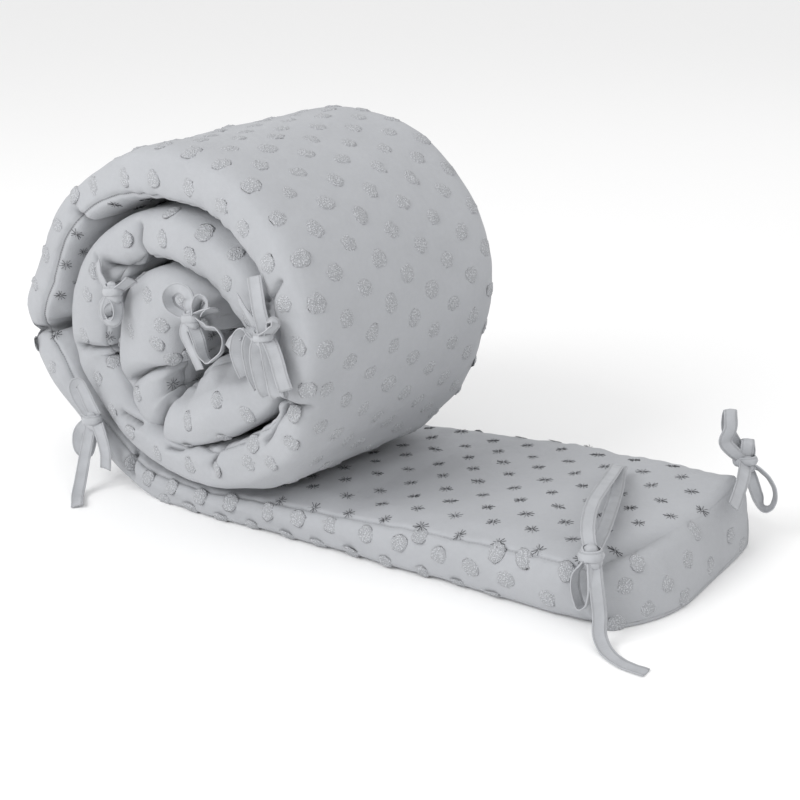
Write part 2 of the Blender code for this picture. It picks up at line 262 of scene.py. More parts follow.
def lengths_along(curve):
    return np.concatenate([[0], np.cumsum(np.linalg.norm(np.diff(curve, axis=0), axis=1))])


def taken_at(curve, along, wanted):
    return np.column_stack([np.interp(wanted, along, column) for column in curve.T])


def evenly(curve, step):
    along = lengths_along(curve)
    count = max(2, round(along[-1] / step))
    return taken_at(curve, along, np.linspace(0, along[-1], count + 1))


def headings(path, reach=1):
    ends = np.clip(np.arange(len(path))[:, None] + [-reach, reach], 0, len(path) - 1)
    steps = path[ends[:, 1]] - path[ends[:, 0]]
    return steps / np.linalg.norm(steps, axis=1)[:, None]


def softened(values, reach):
    """A running mean with soft shoulders, which keeps the two ends."""
    kernel = np.hanning(2 * reach + 3)[1:-1]
    padded = np.pad(values, reach, mode="edge")
    return np.convolve(padded, kernel / kernel.sum(), mode="valid")


# %% [markdown]
# ## How deep the filling is
# Filling swells until it meets the next turn of the roll. At each station a ray goes
# out to both sides, and where it meets another turn the two share the room between
# them. On the inner side of a bend the sections crowd together, so the depth is drawn
# in there, which is where real cloth folds.

# %% Stations 20 mm apart and their depths
STATION_STEP, TURN_GAP, TURN_REACH, OWN_STATIONS = 20.0, 8.0, 130.0, 7
SWELL, SLANT_SHARE, FREE_CROWN, LEAST_STEP = 1.33, 0.3, 1.06, 6.0
EASE_ROUNDS, EASE_PULL, TINY = 90, 0.97, 1e-9
middle_line = smooth_curve([(s.x, s.z) for s in SECTIONS])
middle_along = lengths_along(middle_line)
strip_long = middle_along[-1]
stations = evenly(middle_line, STATION_STEP)
station_at = np.linspace(0, strip_long, len(stations))
ahead = headings(stations)
inward = np.column_stack([ahead[:, 1], -ahead[:, 0]])

key_rows = [0]
for s in SECTIONS[1:]:
    rest = stations[key_rows[-1]:] - (s.x, s.z)
    key_rows.append(key_rows[-1] + int(np.argmin(np.linalg.norm(rest, axis=1))))
section_at = {name: np.interp(np.arange(len(stations)), key_rows,
                              [getattr(s, name) for s in SECTIONS])
              for name in ("thick", "near", "far", "flare", "tuck")}


def room_beside(i, sign):
    """Depths at the edges and in the middle, on one side of station i."""
    free = section_at["thick"][i] / 2
    ray, origin = inward[i] * sign, stations[i]
    rooms = []
    for j in range(len(stations) - 1):
        if abs(i - j) < OWN_STATIONS:
            continue
        edge, gap = stations[j + 1] - stations[j], stations[j] - origin
        det = ray[0] * edge[1] - ray[1] * edge[0]
        if abs(det) < TINY:
            continue
        reach = (gap[0] * edge[1] - gap[1] * edge[0]) / det
        share = (gap[0] * ray[1] - gap[1] * ray[0]) / det
        if 0 < reach < TURN_REACH and 0 <= share <= 1:
            slant = abs(ray @ inward[j])
            part = free / (free + section_at["thick"][j] / 2)
            rooms.append((reach * part - TURN_GAP / 2) * (1 - SLANT_SHARE * (1 - slant)))
    room = min(rooms, default=free * 2)
    if room < free * 2:
        return min(free, room), min(free * SWELL, room)
    return free, free * FREE_CROWN


def eased(points, ahead, normals, depths, least):
    """Draws in the inner side of each bend until its sections stay in order."""
    between = (ahead[1:] + ahead[:-1]) / 2
    for _ in range(EASE_ROUNDS):
        edge = points[:, None, :] + normals[:, None, :] * depths[:, :, None]
        step = np.einsum("ijk,ik->ij", np.diff(edge, axis=0), between)
        tight = step < least
        if not tight.any():
            break
        pull = np.where(tight, EASE_PULL, 1.0)
        depths[1:] *= pull
        depths[:-1] *= pull
    return depths


depth_in, depth_out = (eased(stations, ahead, inward * sign, np.array(
    [room_beside(i, sign) for i in range(len(stations))]), LEAST_STEP) for sign in (1, -1))
print(f"{len(stations)} stations on {strip_long:.0f} mm of strip")

# %% [markdown]
# ## Where the cloth is creased
# A strip this thick can't bend sharply without a crease, and most creases start at the
# near edge. They are listed first, because the rows of the skin lie closer
# together there. A crease's path gives, for each point, how far along the strip it is
# and how far from the near seam, positive over the dotted cloth.

# %% Each crease runs through its points of the cloth
Crease = namedtuple("Crease", "name deep wide path")
CREASES = [
    Crease("elbow", 9, 16, [(782, 66), (784, -90)]),
    Crease("top left corner", 9, 15, [(966, 18), (967, -8), (971, -22), (986, -55)]),
    Crease("middle corner notch", 11, 15, [(2078, 36), (2074, 20), (2077, 0), (2060, -22)]),
    Crease("under the pillow", 12, 14, [(2010, 24), (2023, 8), (2031, -2), (2047, -30)]),
    Crease("tie root, left", 4, 9, [(2003, 40), (1988, 16)]),
    Crease("tie root, right", 4, 8, [(2012, -12), (1994, 4)]),
    Crease("middle elbow", 9, 15, [(1884, 54), (1890, 24), (1901, -14)]),
    Crease("inner elbow, upper", 12, 17, [(2586, 66), (2593, 43), (2610, -7), (2623, -31),
                                          (2640, -55)]),
    Crease("inner elbow, lower", 14, 15, [(2546, 66), (2537, 24), (2531, -13), (2545, -45)]),
    Crease("bottom pocket", 6, 12, [(1716, 8), (1694, 2)]),
    Crease("left pocket", 11, 13, [(1796, 20), (1770, 8)]),
    Crease("bottom pucker", 8, 14, [(1637, 20), (1622, -12)]),
    Crease("right pucker", 8, 14, [(1536, 14), (1499, 8), (1472, 18)]),
    Crease("outer rim tuck", 5, 12, [(1472, -8), (1458, 46)]),
    Crease("lower slant pucker", 7, 13, [(586, -8), (573, 26)]),
    Crease("by the right tie", 5, 12, [(2270, 58), (2292, 34)]),
    Crease("rim by the right tie", 4, 12, [(1352, 8), (1338, 32)]),
]
print(len(CREASES), "creases")

# %% [markdown]
# ## Fine rows and columns
# The cloth is a grid. Its rows lie across the strip every 5 mm, every 1.5 mm where it
# folds and every 2.2 mm at the flat end. Its columns follow the section's outline, close
# together at the seams. Both cloths and the side walls are columns of this one grid, so
# the pad is one closed skin.

# %% Fine rows along the strip
ROW_STEP, FOLD_STEP, FOLD_REACH, END_STEP, END_FINE = 5.0, 1.5, 8.0, 2.2, 70.0
END_BULGE, END_REACH, INNER_CUT = 37.0, 110.0, 18.0
SECTION_FLOW, DEPTH_FLOW, LEAST_SHARE = 4, 3, 0.18      # how far measures are softened
last_at = strip_long - INNER_CUT
measure = np.arange(END_FINE, last_at, 1.0)
in_fold = sum((measure > min(s for s, _ in c.path) - FOLD_REACH) & (
    measure < max(s for s, _ in c.path) + FOLD_REACH) for c in CREASES)
rows_so_far = np.cumsum(np.where(in_fold > 0, 1 / FOLD_STEP, 1 / ROW_STEP))
row_at = np.concatenate([np.arange(0, END_FINE, END_STEP), np.interp(
    np.arange(0.5, rows_so_far[-1]), rows_so_far, measure), [last_at]])
row_count = len(row_at)
row_points = taken_at(middle_line, middle_along, row_at)
row_ahead = taken_at(headings(evenly(middle_line, ROW_STEP), 2),
                     np.linspace(0, strip_long, round(strip_long / ROW_STEP) + 1), row_at)
row_ahead /= np.linalg.norm(row_ahead, axis=1)[:, None]
row_inward = np.column_stack([row_ahead[:, 1], -row_ahead[:, 0]])
even_at = np.arange(0, strip_long + ROW_STEP, ROW_STEP)


def flowing(values, reach):
    """Values known at the stations, softened and taken at the rows."""
    return np.interp(row_at, even_at, softened(np.interp(even_at, station_at, values), reach))


row_section = {name: flowing(values, SECTION_FLOW) for name, values in section_at.items()}
row_in, row_out = (
    eased(row_points, row_ahead, row_inward * sign, np.column_stack(
        [flowing(depth[:, k], DEPTH_FLOW) for k in (0, 1)]),
        np.diff(row_at)[:, None] * LEAST_SHARE)
    for sign, depth in ((1, depth_in), (-1, depth_out)))
fade = np.clip(1 - row_at / END_REACH, 0, 1)
row_bulge = END_BULGE * fade * fade * (3 - 2 * fade)

# %% Columns round the section, from the near seam
# the rim's outline: inset from the edge, then level from 1, inner cloth, to -1, outer
SEAM_SPOT = (8, 0.84)
RIM = [(78, 1.00), (30, 0.98), SEAM_SPOT, (0, 0.36), (1, -0.30), (4, -0.74),
       (14, -0.97), (48, -1.00)]
HALF_DEPTH, OUTER_SPAN, INNER_SPAN = 28.0, 20, 14
# where the columns lie, in millimetres round the rim from the seam
SEAM_STEPS = [-68, -64, -60, -56, -52, -48, -44, -40.5, -37, -33.5, -30, -26.5, -23, -19.5,
              -16, -12.5, -9, -6, -3.6, -1.7, 0, 1.7, 3.6, 6, 9, 12.5, 16, 20, 24, 28, 32,
              36.5, 41, 46, 51, 57, 63, 70, 77, 84, 91]
rim_curve = smooth_curve([(inset, level * HALF_DEPTH) for inset, level in RIM])
rim_along = lengths_along(rim_curve)
seam_row = int(np.argmin(np.linalg.norm(
    rim_curve - (SEAM_SPOT[0], SEAM_SPOT[1] * HALF_DEPTH), axis=1)))
rim = taken_at(rim_curve, rim_along, rim_along[seam_row] + np.array(SEAM_STEPS))
rim[:, 1] /= HALF_DEPTH
outer_inset, inner_inset = rim[-1, 0], rim[0, 0]
# each column: side (-1 near, 1 far, 0 face), inset or share across, level
columns = [(-1, inset, level) for inset, level in rim]
columns += [(0, k / OUTER_SPAN, -1.0) for k in range(1, OUTER_SPAN)]
columns += [(1, inset, level) for inset, level in rim[::-1]]
columns += [(0, 1 - k / INNER_SPAN, 1.0) for k in range(1, INNER_SPAN)]
side, spot, level = (np.array(c, float) for c in zip(*columns))
near_seam = SEAM_STEPS.index(0)
far_seam = len(SEAM_STEPS) + OUTER_SPAN - 1 + SEAM_STEPS[::-1].index(0)
print(f"{row_count} rows by {len(columns)} columns")


# %% [markdown]
# ## Laying the rows out
# Each row bends its outline about the strip's middle. The side walls are nearly
# upright, the filling is deeper in the middle than at the edges, the near edge opens
# outward where the cloth flares and is tucked in at the folds, and the roll is a
# little looser at its far side.

# %% One row of the skin
LOOSER, FLARE_REACH, TUCK_REACH, SLUMP_REACH = 0.036, 45.0, 30.0, 60.0
# how far the near edge slumps: place along the strip, then the way in X and Z
SLUMP = [(1740, 0, 0), (1860, -9, -2), (1960, -8, 0), (2030, -2, 0), (2080, 0, 0),
         (2360, 0, 0), (2440, -4, -9), (2490, -10, -14), (2535, -20, -20), (2580, -15, -10),
         (2660, -12, 0), (2730, -3, 0)]
slump = np.column_stack([np.interp(row_at, *zip(*((r[0], r[k]) for r in SLUMP)))
                         for k in (1, 2)])


def smoothstep(value, low, high):
    t = np.clip((value - low) / (high - low), 0, 1)
    return t * t * (3 - 2 * t)


END_OUT, END_SLOPE, END_SLOPE_MORE, NOSE_DROP, CORNER_OUT = 17.5, 20.0, 24.0, 31.0, 0.45
EDGE_FILL, FAR_PART, WALL_ROWS = (10, 42), (0.1, 0.7), 60
FAR_DRAWN = 0.65      # share of the flat end's bulge that is missing at its far half


def laid_row(i, out=0.0, squeeze=1.0, draw=0.0, turned=0):
    """Row i of the skin, and how far each of its points is past the flat end's seam. An
    end's rows step out, squeeze flat and draw in. At the flat end the top cloth stops
    short, and the wall leans back from the nose to its seam."""
    near, far = row_section["near"][i], row_section["far"][i]
    half, middle = (far - near) / 2, (far + near) / 2
    limit = np.where(level > 0, inner_inset, outer_inset)
    face_y = near + limit + (far - near - 2 * limit) * spot
    y = np.where(side == 0, face_y, middle + side * (half - spot))
    y = middle + (y - middle) * (1 - draw / half)
    from_near, from_edge = y - near, half - np.abs(y - middle)
    share = smoothstep(from_edge, *EDGE_FILL)
    deep = np.where(level > 0, row_in[i, 0] + (row_in[i, 1] - row_in[i, 0]) * share,
                    row_out[i, 0] + (row_out[i, 1] - row_out[i, 0]) * share)
    bow = np.clip(1 - ((y - middle) / half) ** 2, 0, 1)
    missing = FAR_DRAWN * smoothstep((y - near) / (2 * half), *FAR_PART)
    past = END_OUT + row_at[i] - out
    slope = END_SLOPE + END_SLOPE_MORE * bow - END_BULGE * bow * missing
    lean = np.clip(1 - np.clip(1 - past / slope, 0, 1) ** 2, 0, 1) ** 0.5
    top_squeeze = lean if turned < 0 or i < WALL_ROWS else squeeze
    across = (level * deep * np.where(level > 0, top_squeeze, squeeze)
              - row_section["flare"][i] * np.exp(-np.maximum(from_near, 0) / FLARE_REACH)
              - (NOSE_DROP * (out / END_OUT) ** 2 if turned < 0 else 0))
    y = y + row_section["tuck"][i] * np.clip(1 - from_near / TUCK_REACH, 0, 1)
    push = row_bulge[i] * bow * (1 - missing) - out * turned * (
        CORNER_OUT + (1 - CORNER_OUT) * bow)
    flat = row_points[i] + row_inward[i] * across[:, None] - row_ahead[i] * push[:, None]
    flat = flat * (1 + LOOSER * (y - near) / (2 * half))[:, None]
    flat = flat + slump[i] * np.exp(-np.maximum(from_near, 0) / SLUMP_REACH)[:, None]
    return np.column_stack([flat[:, 0], y, flat[:, 1]]), past - slope


skin, end_seam = (np.array(part) for part in zip(*(laid_row(i) for i in range(row_count))))
print("skin of", skin.shape[0] * skin.shape[1], "points")

# %% [markdown]
# ## Cloth coordinates
# Two measures are kept for every point of the skin, in millimetres: how far along the
# cloth it is, and how far it is from the near seam, positive over the dotted cloth
# and negative over the starred one. The creases, dots, stars and stitching are all
# placed by them.

# %% How far along and how far across
NO_SEAM, FAR_AWAY = 40.0, 1e3
# the near seam wanders off the edge where the cloth is pulled round it
SEAM_WANDER = [(780, 0), (830, 8), (940, 9), (1000, 10), (1060, 6), (1120, 0), (1640, 0),
               (1700, -26), (1860, -26), (1910, 0), (2330, 0), (2400, -30)]
across_steps = np.linalg.norm(np.diff(skin, axis=1), axis=2)
travel = np.concatenate([np.zeros((row_count, 1)), np.cumsum(across_steps, axis=1)], axis=1)
from_near_seam = travel - travel[:, near_seam][:, None]
from_far_seam = travel[:, far_seam][:, None] - travel
closing = np.linalg.norm(skin[:, 0] - skin[:, -1], axis=1)
round_length = travel[:, -1] + closing
inner_part = np.arange(len(columns)) > far_seam
from_near_seam[:, inner_part] -= round_length[:, None]
from_far_seam[:, :near_seam] -= round_length[:, None]
seam_wander = np.interp(row_at, *zip(*SEAM_WANDER))[:, None]
seam_side = np.where(np.abs(from_near_seam) < np.abs(from_far_seam),
                     from_near_seam - seam_wander, from_far_seam)
in_end_wall = (level > 0) & (end_seam < 0)
seam_side = np.where(in_end_wall, NO_SEAM, seam_side)
seam_gap = np.minimum(np.abs(seam_side), np.where(level > 0, np.abs(end_seam), FAR_AWAY))
OUTER_MIDDLE = len(SEAM_STEPS) + OUTER_SPAN // 2 - 1
outer_along = lengths_along(skin[:, OUTER_MIDDLE])
outer_wide = from_near_seam[row_count // 2, far_seam]
print(f"outer cloth {outer_along[-1]:.0f} mm long, {outer_wide:.0f} mm wide halfway")

# %% [markdown]
# ## Creases, puckers and soft hollows
# Sewn, filled cloth is never smooth. The seam pulls the cloth into short puckers, a
# fold has a sharp crease with a plump lip on each side, and the filling leaves soft
# hollows. All three move the skin along its own outward direction.

# %% Outward directions and waves
def outward(grid):
    """Each point's unit direction across the cloth, from its neighbours."""
    along = np.gradient(grid, axis=0)
    over = np.roll(grid, -1, axis=1) - np.roll(grid, 1, axis=1)
    normal = np.cross(over, along)
    return normal / (np.linalg.norm(normal, axis=2)[..., None] + TINY)


def waves(u, v, shortest, longest, seed, count=14):
    """A smooth wavy sheet from -1 to 1, with waves of many lengths and ways."""
    dice = np.random.default_rng(seed)
    total = 0
    for _ in range(count):
        size, way = dice.uniform(shortest, longest), dice.uniform(0, 2 * math.pi)
        total = total + np.sin((u * math.cos(way) + v * math.sin(way)) * 2 * math.pi / size
                               + dice.uniform(0, 2 * math.pi))
    return total / math.sqrt(count * 2)


# %% Plump places and the crease profile
SLOT_HALF, LIP_POWER = 1.7, 1.8
Pillow = namedtuple("Pillow", "name high s v long wide")
PILLOWS = [
    Pillow("middle corner", 5, 2058, 17, 20, 22),
    Pillow("inner left", 5, 2670, 30, 45, 30),
    Pillow("inner low", 5, 2450, 25, 60, 24),
    Pillow("inner low, top", 20, 2445, -42, 66, 36),
    Pillow("middle top", 3, 2150, 24, 50, 24),
    Pillow("bottom left", 4, 1780, 24, 60, 24),
]


def crease_gap(crease, s, v):
    """How far each point is from the crease's path."""
    gap = np.full(s.shape, FAR_AWAY)
    for a, b in zip(crease.path, crease.path[1:]):
        step = (b[0] - a[0], b[1] - a[1])
        share = np.clip(((s - a[0]) * step[0] + (v - a[1]) * step[1])
                        / (step[0] ** 2 + step[1] ** 2), 0, 1)
        gap = np.minimum(gap, np.hypot(s - a[0] - share * step[0], v - a[1] - share * step[1]))
    return gap


def crease_depth(crease, gap):
    """Two plump lips that meet in a narrow slot."""
    slot = crease.deep * np.exp(-(gap / SLOT_HALF) ** 2)
    return -crease.deep * np.clip(1 - gap / crease.wide, 0, 1) ** LIP_POWER - slot


# %% Move the skin
CORNER_LIFT, CORNER_REACH, WALL_TOP = 9.0, 60.0, -0.6
# the painted crease shade: its half width, the crease depth that gives it in full, and its
# strength in the flat end's valley
SHADE_HALF, SHADE_FULL, VALLEY_SHADE = 2.4, 8, 0.55
PUCKER_HIGH, PUCKER_REACH, PUCKER_STRETCH, PUCKER_SIZES = 1.7, 14, 0.2, (11, 30)
DENT_DEEP, DENT_HALF = 2.4, 2.6
VALLEY_DEEP, VALLEY_HALF, VALLEY_LOST, VALLEY_FADE = 5.5, 10, 0.75, (60, 150)
HOLLOW_DEEP, HOLLOW_SIZES, RIPPLE_DEEP, RIPPLE_SIZES = 1.5, (60, 150), 0.5, (22, 50)
BARE_EDGE, BARE_FROM, BARE_TO, LEAST_HOLLOW = 25, 700, 1420, 0.4
rows_s = np.repeat(row_at[:, None], len(columns), axis=1)
normals = outward(skin)
turned_out = np.sign(np.mean(np.einsum(
    "ijk,ijk->ij", normals, skin - skin.mean(axis=1, keepdims=True))))
normals *= turned_out
unmoved = skin.copy()
pulled_up = np.exp(-(rows_s / CORNER_REACH) ** 2 - (from_far_seam / CORNER_REACH) ** 2)
skin[..., 2] += CORNER_LIFT * pulled_up * (level > WALL_TOP)
crease_gaps = [crease_gap(c, rows_s, from_near_seam) for c in CREASES]
move = sum(crease_depth(c, gap) for c, gap in zip(CREASES, crease_gaps))
# painted shade: how much the cloth's colour is darkened along each crease
fold_line = np.max([np.exp(-(gap / SHADE_HALF) ** 2) * min(1, c.deep / SHADE_FULL)
                    for c, gap in zip(CREASES, crease_gaps)], axis=0)
move += sum(p.high * np.exp(-((rows_s - p.s) / p.long) ** 2 - (
    (from_near_seam - p.v) / p.wide) ** 2) for p in PILLOWS)
move += PUCKER_HIGH * np.exp(-seam_gap / PUCKER_REACH) * waves(
    rows_s, seam_gap * PUCKER_STRETCH, *PUCKER_SIZES, seed=3)
move -= DENT_DEEP * np.exp(-(seam_gap / DENT_HALF) ** 2)
pulled_in = np.exp(-(end_seam / VALLEY_HALF) ** 2) * (level > 0) * (
    1 - VALLEY_LOST * smoothstep(-from_near_seam, *VALLEY_FADE))
move -= VALLEY_DEEP * pulled_in
# the dip inside the flat end's seam gets the same painted shade
fold_line = np.maximum(fold_line, pulled_in * VALLEY_SHADE)
hollows = (HOLLOW_DEEP * waves(rows_s, from_near_seam, *HOLLOW_SIZES, seed=5)
           + RIPPLE_DEEP * waves(rows_s, from_near_seam, *RIPPLE_SIZES, seed=6))
bare = (from_near_seam > BARE_EDGE) & (rows_s > BARE_FROM) & (rows_s < BARE_TO)
move += np.where(bare, hollows, np.minimum(hollows, LEAST_HOLLOW))
skin = skin + normals * move[..., None]
skin[..., 2] = np.maximum(skin[..., 2], 0.0)
print(f"the cloth moved by {move.min():.0f} to {move.max():.0f} mm")

# %% [markdown]
# ## Closing the two ends
# An end is sewn like a side: it has a wall with a seam along its top. Nine rows step
# out, squeeze flat and draw in, and the last pair of edges is zipped together. The flat
# end's nose is then smoothed, as filling rounds it.

# %% The rows of the two ends
END_ROWS, LAST_GAP, OUT_POWER, SQUEEZE_POWER = 9, 0.07, 0.7, 0.62
END_DRAW, DRAW_POWER, END_CLOTH_STEP, WRAP = 15, 2.5, 3.0, 150
NOSE_ROWS, NOSE_PASSES, NOSE_FACTOR = 6, 14, 0.5


def end_rows(i, turned):
    """An end's rows, which keep the moves of the row that they start from."""
    rows, moved = [], skin[i] - unmoved[i]
    for k in range(1, END_ROWS + 1):
        turn = k / (END_ROWS + LAST_GAP) * math.pi / 2
        row, _ = laid_row(i, END_OUT * math.sin(turn) ** OUT_POWER,
                          math.cos(turn) ** SQUEEZE_POWER,
                          END_DRAW * math.sin(turn) ** DRAW_POWER, turned)
        rows.append(row + moved * math.cos(turn))
    return np.array(rows)


start, finish_rows = end_rows(0, -1)[::-1], end_rows(row_count - 1, 1)
grid = np.concatenate([start, skin, finish_rows])
first_row = len(start)
grid[..., 2] = np.maximum(grid[..., 2], 0.0)
outer_cols = list(range(near_seam, far_seam + 1))
inner_cols = list(range(near_seam, -1, -1)) + list(range(len(columns) - 1, far_seam - 1, -1))
print(len(grid), "rows with both ends")


# %% One closed skin
def as_mesh(name, shape):
    """Turns a finished bmesh into a mesh and lets the bmesh go."""
    mesh = bpy.data.meshes.new(name)
    shape.to_mesh(mesh)
    shape.free()
    return mesh


def zipped(shape, top, bottom):
    """Triangles between two edges that meet at both ends, taken in step."""
    i = j = 0
    while i < len(top) - 1 or j < len(bottom) - 1:
        go_top = j == len(bottom) - 1 or (
            i < len(top) - 1 and top[i + 1].co.y <= bottom[j + 1].co.y)
        corner = top[i + 1] if go_top else bottom[j + 1]
        trio = (top[i], bottom[j], corner)
        if len(set(trio)) == 3:
            shape.faces.new(trio)
        i, j = (i + 1, j) if go_top else (i, j + 1)


shape = bmesh.new()
verts = [[shape.verts.new(p) for p in placed(row)] for row in grid]
star_cols = {k for k in range(len(columns)) if k < near_seam or k >= far_seam}
for r, (a, b) in enumerate(zip(verts, verts[1:])):
    for k in range(len(columns)):
        n = (k + 1) % len(columns)
        i = r - first_row
        starred = 0 <= i < row_count and end_seam[i, k] > 0 and (
            from_near_seam[i, k] < seam_wander[i, 0] or k in star_cols and seam_side[i, k] < 0)
        shape.faces.new((a[k], a[n], b[n], b[k])).material_index = int(starred)
for row in (verts[0], verts[-1]):
    zipped(shape, [row[k] for k in inner_cols], [row[k] for k in outer_cols])
bmesh.ops.recalc_face_normals(shape, faces=shape.faces)
print(len(shape.faces), "faces, closed at both ends")

# %% Round the nose
nose = [v for row in verts[:first_row + NOSE_ROWS] for v in row]
for _ in range(NOSE_PASSES):
    bmesh.ops.smooth_vert(shape, verts=nose, factor=NOSE_FACTOR, use_axis_x=True,
                          use_axis_y=True, use_axis_z=True)
for v in nose:
    v.co.z = max(v.co.z, 0.0)
skin[:NOSE_ROWS] = [[unplaced(v.co) for v in row]
                    for row in verts[first_row:first_row + NOSE_ROWS]]
print("nose of", len(nose), "points smoothed")

# %% Cloth coordinates for the weave, and marks for the seams and for the painted shade in the folds
uv = shape.loops.layers.uv.new("cloth")
past_end = np.arange(1, END_ROWS + 1) * END_CLOTH_STEP
u_of = np.concatenate([row_at[0] - past_end[::-1], row_at, row_at[-1] + past_end])


def with_ends(values):
    """Values of the rows, carried on over the rows of the two ends."""
    return np.concatenate([np.repeat(values[:1], END_ROWS, axis=0), values,
                           np.repeat(values[-1:], END_ROWS, axis=0)])


v_rows = with_ends(from_near_seam)
shape.verts.index_update()
for face in shape.faces:
    cells = [divmod(loop.vert.index, len(columns)) for loop in face.loops]
    v_values = [v_rows[r][c] for r, c in cells]
    wraps = max(v_values) - min(v_values) > WRAP
    for loop, (r, c), v in zip(face.loops, cells, v_values):
        if wraps and v > 0:
            v -= v_rows[r][far_seam] * 2
        loop[uv].uv = (u_of[r] * MM, v * MM)
mesh = as_mesh("padded_strip", shape)
mesh.shade_smooth()
# the seam's place and the painted shade of the creases go to the shader as point attributes
for name, values in (("seam_side", seam_side * MM), ("fold_line", fold_line)):
    mark = mesh.attributes.new(name, "FLOAT", "POINT")
    mark.data.foreach_set("value", with_ends(values).ravel())
pad = in_scene("padded_strip", mesh)
print("padded strip:", len(mesh.polygons), "faces")

# %% [markdown]
# ## Where the dots go
# The dots are woven into the outer cloth in a lattice: 47 mm apart along the strip, in
# rows 31 mm apart that are shifted by half a step. The lattice is worked out on the
# cloth's own coordinates, so it follows every bend. On the side walls the cloth is
# gathered, and the dots there are set one by one. A dot is left out where the next turn
# lies against the cloth, because nobody could see it there.

# %% Points of the cloth by its own coordinates
normals = outward(skin) * turned_out
ROW_GAP = 30.9
LOOK_FAR, ABOVE_CLOTH = 0.03, 0.0012


def on_cloth(cols, s, away):
    """The place and outward direction of the cloth that lies in cols, at s along it
    and away from the near seam."""
    r = int(np.clip(np.searchsorted(row_at, s) - 1, 0, row_count - 2))
    part = (s - row_at[r]) / (row_at[r + 1] - row_at[r])
    reach = np.abs(from_near_seam[r, cols] * (1 - part) + from_near_seam[r + 1, cols] * part)
    k = int(np.searchsorted(reach, away)) - 1
    if not 0 <= k < len(cols) - 1:
        return None
    share = (away - reach[k]) / (reach[k + 1] - reach[k])
    both = []
    for field in (skin, normals):
        low = field[r, cols[k]] * (1 - share) + field[r, cols[k + 1]] * share
        high = field[r + 1, cols[k]] * (1 - share) + field[r + 1, cols[k + 1]] * share
        both.append(low * (1 - part) + high * part)
    return both


bm_pad = bmesh.new()
bm_pad.from_mesh(mesh)
pad_tree = BVHTree.FromBMesh(bm_pad)
bm_pad.free()


def free_room(place_mm, direction):
    """How far the way is clear, in mm, from just above the cloth."""
    start_at = Vector(placed(place_mm)) + Vector(direction) * ABOVE_CLOTH
    hit = pad_tree.ray_cast(start_at, Vector(direction), LOOK_FAR)
    return (LOOK_FAR if hit[0] is None else hit[3]) / MM


# %% The places of the dots
# the lattice covers the outer face, and the wall dots are listed: both are places on
# the cloth, along the strip and from the seam
LATTICE_AT, HALF_STEP, FIRST_ROW = 1471.0, 23.6, 32.9
LATTICE_ROWS, LATTICE_STEPS = range(1, 13), range(-80, 64)
END_MARGIN, SEAM_MARGIN, WALL_PART, ROLL_OUTSIDE = 12, 6, 85, (700, 1500)
LATTICE_ROOM, WALL_ROOM, LEAST_HEIGHT = 7.0, 4.0, 3.0
WALL_DOTS = [
    (20, 70), (42, 41), (63, 66), (85, 32), (105, 58), (125, 29), (143, 55), (160, 22),
    (183, 48), (205, 17), (225, 43), (245, 14), (268, 42), (291, 12), (310, 41), (331, 12),
    (350, 38), (371, 11), (395, 35), (421, 9), (436, 32), (461, 9), (481, 31), (506, 9),
    (521, 30), (546, 10), (581, 12), (26, 8), (70, 5), (100, 6), (185, 4),
    (620, 30), (665, 26), (740, 24), (690, 52), (775, 40), (827, 34), (887, 32), (932, 28),
    (977, 34), (1013, 28), (1078, 24), (1128, 24), (1183, 25), (1238, 25), (1273, 25),
    (1318, 28), (1359, 28), (1399, 33), (1439, 43), (1470, 30),
    (1504, 38), (1509, 12), (1544, 37), (1554, 9), (1574, 26), (1629, 24), (1674, 22),
    (1730, 24), (1775, 26), (1810, 33), (1850, 29), (1905, 35), (1960, 33), (1995, 31),
    (2060, 26), (2131, 26), (2176, 24), (2231, 28), (2181, 54), (2221, 59), (2130, 57),
    (2275, 26), (2320, 24), (2365, 10),
    (2396, 33), (2426, 10), (2446, 49), (2482, 16), (2500, 48),
    (2637, 60), (2657, 14), (2687, 52), (2687, 16), (2730, 34), (2760, 12),
    (2640, -6), (2652, -24), (2576, 44), (2560, 58), (1858, -6)]
# the flat end's own dots are (x, y, z) about the roll, and move to the nearest cloth
END_DOTS = [(469, 91, 61), (468, 73, 43), (487, 120, 32), (485, 159, 45), (486, 203, 20),
            (483, 93, 15), (493, 144, 11), (480, 253, 33), (479, 282, 11), (474, 189, 61),
            (468, 62, 6)]
print(len(WALL_DOTS) + len(END_DOTS), "dots set by hand")

# %% Keep the dots that can be seen
spots, facings = [], []


def try_dot(s, v, least_room):
    found = on_cloth(outer_cols if v > 0 else inner_cols, s, abs(v))
    if found is not None and found[0][2] > LEAST_HEIGHT and free_room(*found) > least_room:
        spots.append(found[0])
        facings.append(found[1])


for s, v in WALL_DOTS:
    try_dot(s, v, WALL_ROOM)
for m in LATTICE_ROWS:
    for n in LATTICE_STEPS:
        a = LATTICE_AT - HALF_STEP * n
        if (m - n) % 2 or not 0 < a < outer_along[-1] - END_MARGIN:
            continue
        s, v = np.interp(a, outer_along, row_at), FIRST_ROW + ROW_GAP * m
        if v < np.interp(s, row_at, from_near_seam[:, far_seam]) - SEAM_MARGIN and (
                v > WALL_PART or ROLL_OUTSIDE[0] < s < ROLL_OUTSIDE[1]):
            try_dot(s, v, LATTICE_ROOM)
for spot_mm in END_DOTS:
    at, facing, _, _ = pad_tree.find_nearest(Vector(placed(spot_mm)))
    if at.z > LEAST_HEIGHT * MM:
        spots.append(unplaced(at))
        facings.append(np.array(facing))
print(len(spots), "dots")

# %% [markdown]
# ## The dots
# Each dot is a patch of cut loops, about 20 mm across and 1 to 2 mm proud, with an uneven
# edge. One low disc is put on every point by Geometry Nodes, turned at random, made
# real, and then roughened by noise, so no two dots have the same outline.

